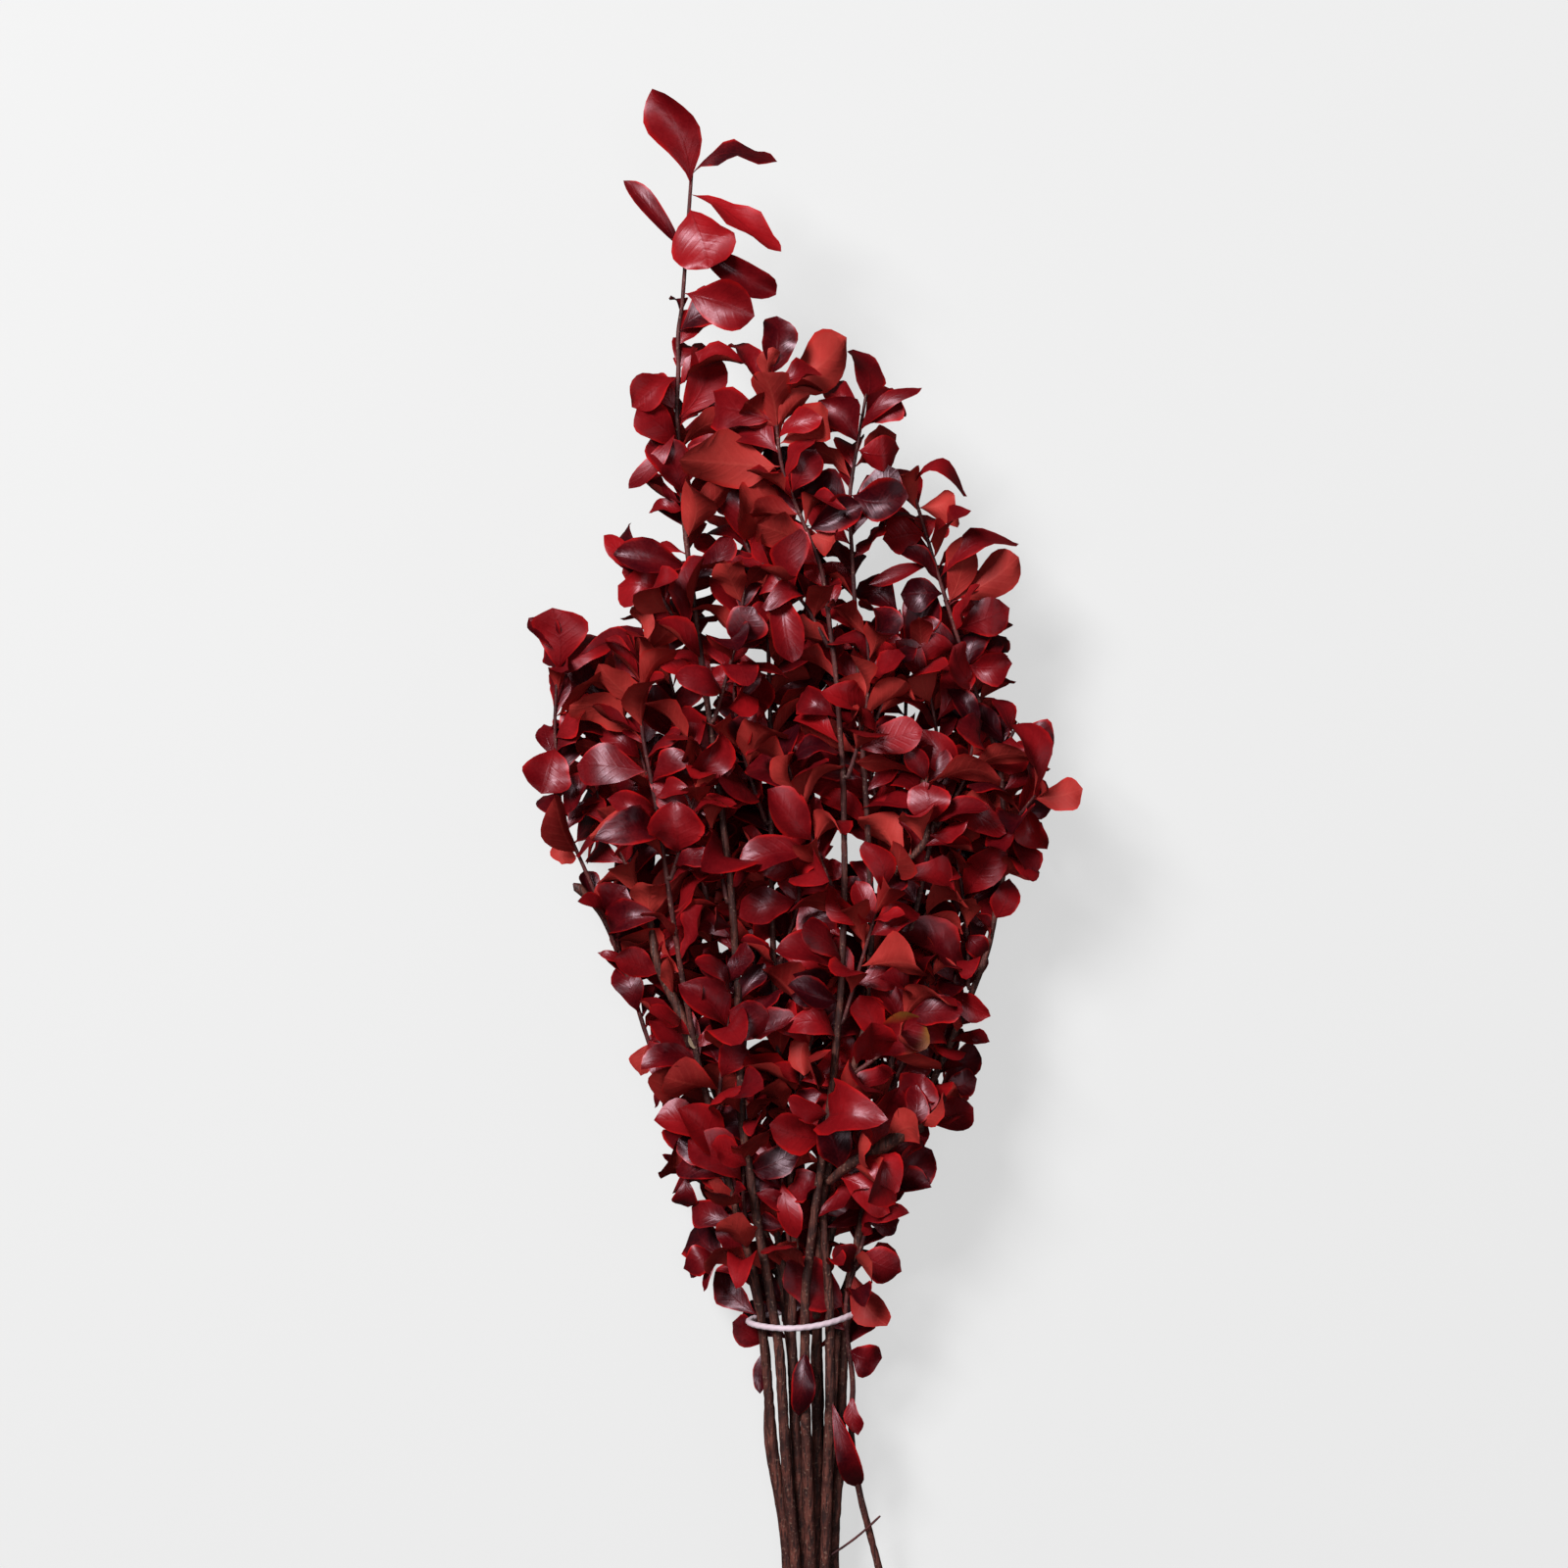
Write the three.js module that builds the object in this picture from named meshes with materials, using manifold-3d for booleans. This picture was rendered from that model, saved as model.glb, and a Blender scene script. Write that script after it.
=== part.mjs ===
// A tied bunch of preserved red pittosporum, lying on its side on a table.
//
// The stems run along Y with their cut ends at -Y and the tips at +Y.  X goes across the bunch,
// Z is up and the table is Z = 0.  The origin is under the middle of the bunch.
//
// Every woody stem is a tapered tube.  A spray is a thin side twig, or the end of a stem, with
// the leaves that grew on it.  A leaf is a thin kite with five corners: its base, its tip, its
// two edges and the keel of its midrib, which stands out on the lower face.

import * as THREE from "three";
import { mergeVertices } from "three/addons/utils/BufferGeometryUtils.js";
import Module from "manifold-3d";

const wasm = await Module();
wasm.setup();

// Driving dimensions, millimetres and degrees

const BUNCH_LENGTH = 750; // highest tip to the cut ends
const CUT_RADIUS = 2.5; // a main stem at its cut end
const TWIG_RADIUS = 1.05;
const TWIG_TIP_RADIUS = 0.65;
const LEAF_LENGTH = 34;
const LEAF_WIDTH = 19;
const LEAF_WAIST = 0.54; // widest place, as a share of the length
const KEEL = 1.4; // how far the midrib stands out below the blade's edges
const GAP = 0.3; // clearance that neighbours keep
const TIE_RADIUS = 1.45;
const TIE_SIZE = [26.1, 21]; // half width and half depth of the tie's loop
const TIE_SLOPE = -2.5; // the loop's right end lies this much nearer to the tips

const STEM_SIDES = 6;
const STEM_STEPS = 13;
const TWIG_SIDES = 4;
const TWIG_STEP = 24; // length of one straight piece of a twig
const SEED = 20;

// The plan: a square grid seen from above, 0 at the top left, tips at the top

const PLAN_TIP = 86; // row of the highest tip
const PLAN_CUT = 1716; // row of the cut ends
const PLAN_MIDDLE = 800; // column and row under the eye
const STEP = BUNCH_LENGTH / (PLAN_CUT - PLAN_TIP); // one grid step in millimetres
const EYE_HEIGHT = 1600; // the eye that sees the plan, above the reference height
const REFERENCE_HEIGHT = 60;

// The bundle's own axis climbs from the cut ends, which lie on the table, to the leafy part.
const AXIS_START = 11.9;
const AXIS_CLIMB = 74;
const AXIS_REACH = 430;

// Rows where the stems are held together: row, middle column, half width in steps, half depth.
const BUNDLE = [
  [PLAN_CUT, 829, 23, 10],
  [1590, 827, 23, 10],
  [1470, 823, 36, 14],
  [1343, 820, 43, 16],
];
const TIE_ROW = 1343;
const TIE_COLUMN = 818.8;
const SPREAD_ROW = 900; // from this row up a stem has reached its own layer

// Outline of the leafy part: row, left column, right column.
const OUTLINE = [
  [320, 690, 880],
  [400, 650, 935],
  [470, 640, 980],
  [540, 640, 1025],
  [600, 632, 1035],
  [636, 640, 1032],
  [660, 590, 1030],
  [676, 558, 1028],
  [700, 555, 1020],
  [760, 548, 1060],
  [810, 553, 1090],
  [860, 575, 1062],
  [920, 582, 1037],
  [980, 628, 1005],
  [1040, 645, 990],
  [1100, 675, 992],
  [1160, 688, 968],
  [1220, 698, 915],
  [1290, 705, 908],
  [1343, 745, 900],
  [1400, 772, 888],
];

// Leaves placed by hand are rows of: base column, base row, tip column, tip row, width,
// rise of the tip, roll about the leaf's length (0 shows the upper face, 180 the lower one)
// and how far the middle of the midrib arches out of the line from base to tip.

// Woody stems
// slot: place in the bundle, across and up, as shares of its half width and half depth.
// layer: height above the bundle's axis in the leafy part.  foot: plan points of a stem that
// leaves the bundle below the tie.  route: plan points above the tie, up to the tip.
// fill: how many leaves grow by rule, between the two rows in leafy.

const STEMS = {
  tall_left: {
    slot: [-0.64, 0.77],
    layer: 20,
    route: [
      [775, 1260], [760, 1180], [754, 1080], [753, 985], [741, 860], [725, 740], [711, 640],
      [703, 575], [696, 515], [690, 440], [694, 345], [699, 270], [703, 205], [706, 172],
    ],
    fill: 11,
    leafy: [560, 352],
    leaves: [
      [702, 190, 665, 92, 17, 8, 10, 3],
      [706, 178, 796, 176, 13, 10, -58, 13],
      [704, 199, 792, 274, 12, 8, -50, 12],
      [702, 209, 725, 280, 25, 9, 5, 4],
      [697, 262, 638, 184, 9, 3, 25, 4],
      [700, 238, 790, 300, 13, -5, 25, 5],
      [697, 300, 769, 322, 20, 6, 18, 4],
      [696, 322, 687, 300, 6, -4, 60, 1],
      [693, 425, 724, 347, 20, 3, 22, 4],
      [692, 385, 646, 421, 17, 6, 32, 4],
      [690, 432, 645, 501, 8, 2, 40, 6],
      [697, 505, 668, 448, 19, 9, 12, 3],
      [697, 523, 663, 516, 8, 2, 40, 1],
    ],
  },
  tall_center: {
    slot: [0, 1],
    layer: 33,
    route: [
      [829, 1250], [846, 1140], [859, 1000], [862, 880], [859, 760], [850, 660], [837, 572],
      [823, 545], [806, 505], [790, 455], [780, 405], [786, 372],
    ],
    fill: 9,
    leafy: [590, 380],
    leaves: [
      [812, 1378, 812, 1446, 12, 6, 12, 3],
      [784, 385, 795, 322, 17, 0, 22, 3],
      [781, 405, 757, 336, 13, -8, 60, 2],
      [783, 400, 870, 350, 25, 8, 168, 5],
      [785, 438, 760, 408, 18, 6, 160, 2],
      [790, 456, 852, 420, 18, 9, 165, 6],
      [796, 478, 696, 470, 25, 14, 170, 5],
      [784, 428, 705, 412, 18, -7, 12, 3],
      [806, 505, 832, 461, 13, 7, 10, 2],
      [826, 548, 857, 556, 14, 8, 172, 2],
      [815, 526, 744, 528, 27, 9, 165, 7],
      [820, 540, 878, 514, 15, 1, 22, 3],
    ],
  },
  right_center: {
    slot: [0.64, 0.77],
    layer: 24,
    route: [
      [838, 1226], [840, 1167], [870, 1108], [886, 1050], [889, 980], [888, 880], [881, 780],
      [875, 680], [872, 610], [869, 555], [866, 500], [872, 450], [884, 402],
    ],
    fill: 7,
    leafy: [560, 402],
    leaves: [
      [846, 1428, 872, 1528, 11, 5, 12, 4],
      [877, 432, 916, 404, 18, 4, 22, 3],
      [873, 458, 919, 463, 18, 0, 32, 3],
      [874, 440, 942, 398, 8, 6, -60, 9],
      [867, 505, 924, 507, 20, 10, 8, 4],
      [872, 455, 838, 408, 18, 4, 18, 3],
    ],
  },
  left: {
    slot: [-0.98, 0.17],
    layer: 24,
    route: [
      [768, 1290], [745, 1215], [724, 1130], [707, 1060], [694, 985], [687, 944], [680, 891],
      [671, 830], [660, 775], [652, 730], [648, 690], [655, 655],
    ],
    fill: 9,
    leafy: [760, 655],
    leaves: [],
  },
  outer_left: {
    slot: [-0.8, -0.5],
    layer: 4,
    thin: 0.62,
    foot: [[795, 1530], [783, 1480], [781, 1420]],
    route: [
      [755, 1285], [727, 1215], [700, 1150], [683, 1111], [664, 1071], [645, 1036], [638, 985],
      [628, 950], [608, 912], [592, 872], [582, 850], [564, 812], [562, 760], [576, 700],
      [570, 655],
    ],
    fill: 9,
    leafy: [850, 655],
    leaves: [
      [646, 1036, 638, 984, 14, 5, 15, 3],
      [638, 982, 612, 972, 5, 3, 20, 2],
      [662, 1066, 654, 1096, 10, 3, 165, 2],
      [658, 1060, 694, 1098, 18, 7, 10, 3],
      [684, 1112, 667, 1127, 4, 3, 40, 2],
      [781, 1372, 744, 1352, 15, 4, 12, 3],
      [777, 1372, 778, 1421, 6, 2, 40, 2],
      [563, 762, 553, 812, 22, 7, 6, 4],
      [574, 690, 562, 620, 24, 6, 22, 3],
      [572, 670, 541, 632, 12, 4, 30, 3],
      [584, 855, 574, 880, 12, 4, 160, 2],
    ],
  },
  back_left: {
    slot: [-0.34, -0.94],
    layer: -28,
    route: [
      [785, 1270], [745, 1150], [705, 1020], [670, 900], [645, 800], [630, 730], [620, 690],
      [611, 655],
    ],
    fill: 9,
    leafy: [720, 655],
    leaves: [],
  },
  back_center: {
    slot: [0.34, -0.94],
    layer: -33,
    route: [
      [820, 1250], [815, 1120], [810, 1000], [805, 880], [800, 760], [798, 650], [790, 580],
      [775, 520], [765, 470], [760, 430],
    ],
    fill: 13,
    leafy: [640, 430],
    leaves: [],
  },
  right_outer: {
    slot: [0.82, -0.48],
    layer: 4,
    route: [
      [867, 1290], [897, 1220], [938, 1130], [975, 1055], [995, 1008], [1019, 935],
      [1028, 860], [1030, 822], [1025, 791], [1013, 757], [998, 715], [984, 673], [965, 610],
      [945, 553], [929, 522], [929, 492],
    ],
    fill: 4,
    leafy: [735, 492],
    leaves: [
      [1018, 937, 1031, 899, 15, 4, 12, 3],
      [1026, 893, 1058, 880, 13, 4, 160, 2],
      [966, 612, 1038, 568, 19, 6, 168, 4],
      [975, 640, 1029, 622, 18, 4, 22, 4],
      [957, 590, 1031, 536, 11, 4, -55, 8],
      [966, 615, 981, 552, 14, 7, 168, 3],
      [946, 556, 963, 530, 9, 0, 40, 2],
      [940, 545, 899, 552, 18, 5, 8, 3],
      [950, 575, 888, 598, 7, 3, 40, 4],
      [962, 605, 921, 606, 16, 3, 12, 3],
      [980, 665, 922, 655, 14, 6, -40, 6],
      [988, 690, 936, 673, 18, 5, 150, 4],
      [986, 680, 1031, 678, 15, 4, 22, 4],
      [929, 500, 986, 490, 10, 4, -60, 9],
      [930, 520, 972, 506, 19, 6, 168, 3],
    ],
  },
  right_inner: {
    slot: [0.98, 0.17],
    layer: 14,
    route: [
      [880, 1240], [905, 1130], [915, 1020], [921, 965], [934, 928], [947, 885], [956, 820],
      [958, 760], [954, 730], [946, 695], [938, 660],
    ],
    fill: 10,
    leafy: [750, 660],
    leaves: [],
  },
  mid_center: {
    slot: [-0.3, 0.3],
    layer: 10,
    route: [
      [812, 1250], [798, 1120], [790, 1000], [787, 900], [787, 800], [784, 745], [786, 690],
      [786, 640], [778, 590], [762, 550], [748, 520],
    ],
    fill: 11,
    leafy: [680, 520],
    leaves: [],
  },
  inner_right: {
    slot: [0.3, 0.3],
    layer: 0,
    route: [
      [838, 1250], [860, 1120], [885, 1000], [905, 900], [920, 800], [925, 720], [924, 670],
      [918, 622],
    ],
    fill: 9,
    leafy: [720, 622],
    leaves: [],
  },
  inner_left: {
    slot: [-0.3, -0.3],
    layer: -6,
    route: [
      [792, 1250], [762, 1120], [737, 1000], [718, 900], [706, 810], [694, 735], [682, 690],
      [672, 645],
    ],
    fill: 7,
    leafy: [800, 645],
    leaves: [],
  },
  back_right: {
    slot: [0.3, -0.3],
    layer: -24,
    route: [
      [850, 1250], [880, 1130], [915, 1010], [945, 900], [970, 800], [985, 720], [994, 665],
      [1004, 615],
    ],
    fill: 10,
    leafy: [740, 615],
    leaves: [],
  },
  loose_right: {
    slot: [0.9, 0.44],
    layer: 10,
    thin: 0.66,
    foot: [[925, 1705], [897, 1600], [881, 1540], [868, 1470], [871, 1390]],
    route: [[874, 1290], [888, 1240], [898, 1195], [910, 1150]],
    fill: 6,
    leafy: [1230, 1150],
    leaves: [
      [870, 1376, 898, 1386, 16, 3, 12, 3],
      [869, 1425, 875, 1463, 7, 3, 12, 2],
      [873, 1300, 903, 1354, 15, 6, 150, 3],
      [877, 1280, 918, 1298, 18, 3, 20, 3],
      [886, 1246, 915, 1243, 12, -4, 20, 2],
    ],
  },
};

// Sprays
// from: row where the twig leaves its stem.  rise: height of the twig's tip above its start.
// fill: how many leaves grow by rule along the twig.

const SPRAYS = {
  tall_left_shoot: {
    stem: "tall_left",
    from: 672,
    route: [[690, 640], [676, 605], [661, 584]],
    rise: 6,
    fill: 6,
    leaves: [
      [661, 585, 618, 547, 11, 5, 22, 3],
      [680, 608, 633, 593, 20, 4, 22, 3],
    ],
  },
  tall_left_inner: {
    stem: "tall_left",
    from: 745,
    route: [[742, 690], [755, 640], [760, 595]],
    rise: 12,
    fill: 10,
    leaves: [[755, 660, 768, 620, 18, 6, 8, 3]],
  },
  tall_left_low: {
    stem: "tall_left",
    from: 925,
    route: [[728, 850], [712, 800], [700, 750]],
    rise: 14,
    fill: 11,
    leaves: [],
  },
  tall_center_upper: {
    stem: "tall_center",
    from: 668,
    route: [[828, 622], [803, 595], [778, 575]],
    rise: 10,
    fill: 9,
    leaves: [[802, 596, 808, 674, 17, 8, 12, 4]],
  },
  tall_center_right: {
    stem: "tall_center",
    from: 800,
    route: [[882, 740], [888, 690], [884, 640]],
    rise: 12,
    fill: 11,
    leaves: [],
  },
  tall_center_left: {
    stem: "tall_center",
    from: 930,
    route: [[838, 880], [818, 830], [803, 775]],
    rise: 12,
    fill: 11,
    leaves: [[820, 862, 783, 806, 20, 8, 8, 4]],
  },
  tall_center_low: {
    stem: "tall_center",
    from: 1050,
    route: [[876, 990], [890, 945], [900, 905]],
    rise: 12,
    fill: 11,
    leaves: [[892, 940, 846, 905, 11, 6, -30, 6]],
  },
  right_center_upper: {
    stem: "right_center",
    from: 762,
    route: [[900, 725], [908, 700]],
    rise: 4,
    fill: 7,
    leaves: [[906, 705, 893, 651, 20, 4, 12, 3]],
  },
  right_center_mid: {
    stem: "right_center",
    from: 940,
    route: [[918, 885], [938, 840], [945, 790]],
    rise: 12,
    fill: 11,
    leaves: [[941, 845, 944, 800, 19, 8, 8, 4]],
  },
  right_center_low: {
    stem: "right_center",
    from: 1100,
    route: [[902, 1080], [924, 1050], [930, 1010]],
    rise: 12,
    fill: 10,
    leaves: [[900, 1085, 943, 1036, 22, 7, 8, 4]],
  },
  right_center_foot: {
    stem: "right_center",
    from: 1212,
    route: [[862, 1188], [890, 1168], [920, 1150]],
    rise: 10,
    fill: 9,
    leaves: [
      [858, 1190, 943, 1142, 27, 9, 6, 5],
    ],
  },
  left_upper: {
    stem: "left",
    from: 905,
    route: [[694, 860], [708, 820], [718, 780]],
    rise: 10,
    fill: 9,
    leaves: [
      [690, 870, 688, 818, 25, 8, 6, 4],
      [712, 806, 736, 750, 17, 8, 22, 4],
    ],
  },
  left_outer: {
    stem: "left",
    from: 1070,
    route: [[692, 1030], [672, 955], [652, 912], [632, 866], [622, 838]],
    rise: 0,
    fill: 12,
    leaves: [[690, 1028, 652, 962, 20, 7, 168, 4]],
  },
  left_inner: {
    stem: "left",
    from: 1150,
    route: [[736, 1095], [744, 1045], [742, 995]],
    rise: 14,
    fill: 10,
    leaves: [
      [741, 1030, 784, 1045, 19, 8, 10, 5],
      [735, 1100, 758, 1060, 15, 8, 22, 4],
    ],
  },
  left_low: {
    stem: "left",
    from: 1262,
    route: [[757, 1215], [762, 1165], [770, 1120]],
    rise: 14,
    fill: 11,
    leaves: [[760, 1170, 735, 1128, 18, 6, 12, 4]],
  },
  outer_left_shoot: {
    stem: "outer_left",
    from: 975,
    route: [[622, 945], [610, 925], [604, 902]],
    rise: 6,
    fill: 5,
    leaves: [
      [612, 930, 583, 902, 16, 4, 32, 3],
      [614, 932, 638, 903, 18, 7, 8, 3],
    ],
  },
  outer_left_low: {
    stem: "outer_left",
    from: 1215,
    route: [[708, 1200], [692, 1195]],
    rise: 4,
    fill: 6,
    leaves: [
      [705, 1198, 677, 1192, 19, 6, 150, 4],
      [700, 1198, 700, 1232, 11, 3, 22, 3],
    ],
  },
  outer_left_foot: {
    stem: "outer_left",
    from: 1290,
    route: [[738, 1280], [724, 1278]],
    rise: 3,
    fill: 5,
    leaves: [
      [728, 1279, 699, 1292, 13, 5, 22, 5],
      [734, 1281, 718, 1316, 4, 3, 60, 3],
    ],
  },
  back_left_outer: {
    stem: "back_left",
    from: 875,
    route: [[625, 830], [612, 795], [604, 765]],
    rise: 6,
    fill: 10,
    leaves: [],
  },
  back_left_inner: {
    stem: "back_left",
    from: 1010,
    route: [[716, 940], [726, 890], [724, 845]],
    rise: -6,
    fill: 10,
    leaves: [],
  },
  back_left_low: {
    stem: "back_left",
    from: 1170,
    route: [[732, 1120], [712, 1085], [700, 1050]],
    rise: -4,
    fill: 9,
    leaves: [],
  },
  back_center_upper: {
    stem: "back_center",
    from: 800,
    route: [[826, 740], [836, 690], [832, 640]],
    rise: -2,
    fill: 11,
    leaves: [],
  },
  back_center_mid: {
    stem: "back_center",
    from: 960,
    route: [[776, 900], [762, 850], [756, 800]],
    rise: -2,
    fill: 11,
    leaves: [],
  },
  back_center_low: {
    stem: "back_center",
    from: 1150,
    route: [[842, 1090], [856, 1040], [856, 990]],
    rise: -2,
    fill: 10,
    leaves: [],
  },
  right_outer_upper: {
    stem: "right_outer",
    from: 775,
    route: [[1030, 752], [1040, 738]],
    rise: 4,
    fill: 4,
    leaves: [
      [1036, 742, 1073, 768, 14, 4, -35, 6],
      [1030, 750, 1030, 787, 18, 6, 8, 3],
    ],
  },
  right_outer_shoot: {
    stem: "right_outer",
    from: 850,
    route: [[1044, 826], [1056, 812]],
    rise: 4,
    fill: 5,
    leaves: [
      [1054, 815, 1104, 806, 15, 3, 160, 3],
      [1046, 826, 1066, 868, 13, 2, 20, 3],
    ],
  },
  right_outer_mid: {
    stem: "right_outer",
    from: 1020,
    route: [[988, 965], [983, 915], [976, 872]],
    rise: 8,
    fill: 10,
    leaves: [
      [985, 925, 970, 868, 17, 7, 168, 4],
      [986, 955, 1005, 975, 12, 4, 20, 3],
    ],
  },
  right_outer_low: {
    stem: "right_outer",
    from: 1120,
    route: [[958, 1070], [972, 1030], [975, 995]],
    rise: 6,
    fill: 9,
    leaves: [[974, 1010, 1012, 1035, 13, 3, 22, 4]],
  },
  right_outer_foot: {
    stem: "right_outer",
    from: 1190,
    route: [[938, 1160], [958, 1128], [966, 1095]],
    rise: 4,
    fill: 8,
    leaves: [
      [964, 1110, 995, 1102, 14, 3, 12, 3],
      [950, 1150, 993, 1128, 17, 4, 12, 3],
      [930, 1175, 946, 1202, 7, -3, 20, 2],
    ],
  },
  right_inner_upper: {
    stem: "right_inner",
    from: 850,
    route: [[980, 810], [992, 775], [996, 745]],
    rise: 6,
    fill: 9,
    leaves: [],
  },
  right_inner_mid: {
    stem: "right_inner",
    from: 975,
    route: [[950, 925], [968, 885], [980, 850]],
    rise: 4,
    fill: 9,
    leaves: [],
  },
  right_inner_low: {
    stem: "right_inner",
    from: 1120,
    route: [[930, 1060], [945, 1015], [956, 975]],
    rise: 8,
    fill: 9,
    leaves: [],
  },
  mid_center_upper: {
    stem: "mid_center",
    from: 850,
    route: [[764, 790], [752, 745], [748, 700]],
    rise: 14,
    fill: 11,
    leaves: [],
  },
  mid_center_mid: {
    stem: "mid_center",
    from: 1000,
    route: [[806, 950], [820, 912], [806, 868]],
    rise: 18,
    fill: 8,
    leaves: [
      [818, 915, 840, 964, 19, 7, 8, 4],
      [815, 918, 753, 932, 17, 7, 10, 4],
    ],
  },
  mid_center_low: {
    stem: "mid_center",
    from: 1150,
    route: [[818, 1095], [832, 1050], [838, 1005]],
    rise: 20,
    fill: 10,
    leaves: [[832, 1048, 822, 1096, 12, 6, 165, 3]],
  },
  mid_center_foot: {
    stem: "mid_center",
    from: 1285,
    route: [[800, 1235], [797, 1190], [800, 1150]],
    rise: 16,
    fill: 11,
    leaves: [[800, 1205, 812, 1262, 14, 6, 12, 4]],
  },
  inner_right_upper: {
    stem: "inner_right",
    from: 880,
    route: [[896, 830], [888, 780], [884, 740]],
    rise: 6,
    fill: 9,
    leaves: [],
  },
  inner_right_low: {
    stem: "inner_right",
    from: 1080,
    route: [[902, 1030], [918, 985], [926, 945]],
    rise: -12,
    fill: 9,
    leaves: [],
  },
  inner_left_upper: {
    stem: "inner_left",
    from: 905,
    route: [[684, 850], [664, 805], [652, 765]],
    rise: 12,
    fill: 9,
    leaves: [[662, 805, 630, 750, 16, 7, 168, 4]],
  },
  inner_left_low: {
    stem: "inner_left",
    from: 1090,
    route: [[764, 1020], [772, 965], [768, 915]],
    rise: 6,
    fill: 10,
    leaves: [],
  },
  back_right_outer: {
    stem: "back_right",
    from: 900,
    route: [[988, 855], [1022, 820], [1040, 790]],
    rise: 4,
    fill: 10,
    leaves: [],
  },
  back_right_mid: {
    stem: "back_right",
    from: 1045,
    route: [[942, 995], [972, 950], [984, 915]],
    rise: 0,
    fill: 10,
    leaves: [],
  },
  back_right_low: {
    stem: "back_right",
    from: 1190,
    route: [[896, 1120], [922, 1075], [932, 1035]],
    rise: 0,
    fill: 9,
    leaves: [],
  },
};

// A thin bare twig with a small bud, low on the right: plan points and heights above the stem.
const BARE_TWIG = {
  stem: "right_center",
  from: 1590,
  route: [[871, 1572], [886, 1560], [898, 1547]],
  rise: 4,
};
const BARE_TWIG_RADIUS = 0.6;

// Helpers

const UP = new THREE.Vector3(0, 0, 1);

function randomFrom(seed) {
  let state = seed;
  return () => {
    state = (state + 0x6d2b79f5) | 0;
    let mixed = Math.imul(state ^ (state >>> 15), 1 | state);
    mixed = (mixed + Math.imul(mixed ^ (mixed >>> 7), 61 | mixed)) ^ mixed;
    return ((mixed ^ (mixed >>> 14)) >>> 0) / 2 ** 32;
  };
}

// Reads a list of rows whose first column is a plan row, straight between its entries.
function between(rows, row, column) {
  const last = rows.length - 1;
  const falling = rows[0][0] > rows[last][0];
  const k = rows.findIndex((r) => (falling ? r[0] <= row : r[0] >= row));
  if (k === 0) return rows[0][column];
  if (k < 0) return rows[last][column];
  const share = (row - rows[k - 1][0]) / (rows[k][0] - rows[k - 1][0]);
  return THREE.MathUtils.lerp(rows[k - 1][column], rows[k][column], share);
}

const shrink = (height) => (STEP * (EYE_HEIGHT - height + REFERENCE_HEIGHT)) / EYE_HEIGHT;

// A plan point at a height, as a point in space under the eye.
function place(column, row, height) {
  const scale = shrink(height);
  return new THREE.Vector3((column - PLAN_MIDDLE) * scale, (PLAN_MIDDLE - row) * scale, height);
}

// Where the eye sees a point of space on the plan.
function planOf(point) {
  const scale = shrink(point.z);
  return [PLAN_MIDDLE + point.x / scale, PLAN_MIDDLE - point.y / scale];
}

function axisHeight(row) {
  const distance = (PLAN_CUT - row) * STEP;
  return AXIS_START + AXIS_CLIMB * (1 - Math.exp(-distance / AXIS_REACH));
}

function solidOf(geometry) {
  geometry.deleteAttribute("normal");
  geometry.deleteAttribute("uv");
  const merged = mergeVertices(geometry, 1e-4);
  return new wasm.Manifold(
    new wasm.Mesh({
      numProp: 3,
      vertProperties: merged.attributes.position.array,
      triVerts: new Uint32Array(merged.index.array),
    }),
  );
}

function boxOf(solid) {
  const { min, max } = solid.boundingBox();
  return new THREE.Box3(new THREE.Vector3(...min), new THREE.Vector3(...max));
}

// A round bar along a curve: a cylinder whose rings are carried to the curve.
function bar(curve, startRadius, endRadius, sides, steps) {
  const geometry = new THREE.CylinderGeometry(1, 1, 1, sides, steps);
  const corners = geometry.attributes.position;
  for (let i = 0; i < corners.count; i++) {
    const share = THREE.MathUtils.clamp(corners.getY(i) + 0.5, 0, 1);
    const along = curve.getTangentAt(share);
    const side = along.clone().cross(UP).normalize();
    const top = side.clone().cross(along);
    const radius = THREE.MathUtils.lerp(startRadius, endRadius, share);
    const spot = curve
      .getPointAt(share)
      .addScaledVector(side, corners.getX(i) * radius)
      .addScaledVector(top, corners.getZ(i) * radius);
    corners.setXYZ(i, spot.x, spot.y, spot.z);
  }
  return solidOf(geometry);
}

const smooth = (points) => new THREE.CatmullRomCurve3(points, false, "centripetal");

// A point on the axis of a bar, which runs straight from ring to ring.
function axisPoint({ curve, steps }, share) {
  const ring = Math.min(Math.floor(share * steps), steps - 1);
  const next = curve.getPointAt((ring + 1) / steps);
  return curve.getPointAt(ring / steps).lerp(next, share * steps - ring);
}

// The share of a curve's length at which it passes nearest to what measure() asks for.
function nearest(curve, measure) {
  const pieces = 240;
  let best = 0;
  let least = Infinity;
  for (let i = 0; i <= pieces; i++) {
    const miss = measure(curve.getPointAt(i / pieces));
    if (miss < least) [least, best] = [miss, i / pieces];
  }
  return best;
}

const shareAtRow = (curve, row) => nearest(curve, (p) => Math.abs(planOf(p)[1] - row));

// What already stands, so that what comes next keeps clear of it

const standing = [];

function isClear(solid, except = []) {
  const box = boxOf(solid).expandByScalar(GAP);
  return standing.every(
    (other) =>
      except.includes(other.name) || !box.intersectsBox(other.box) || solid.minGap(other.solid, GAP) >= GAP,
  );
}

function stand(name, solid) {
  standing.push({ name, solid, box: boxOf(solid) });
}

// Tries each choice in turn and keeps the first one that is clear of everything, or none.
function settle(choices, make, except) {
  for (const choice of choices) {
    const made = make(choice);
    if (made && isClear(made.solid, except)) return made;
  }
  return null;
}

// Stems

const NUDGES = [0, 3, -3, 6, -6, 9, -9, 12, -12, 16, -16, 20, -20, 25, -25];

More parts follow.
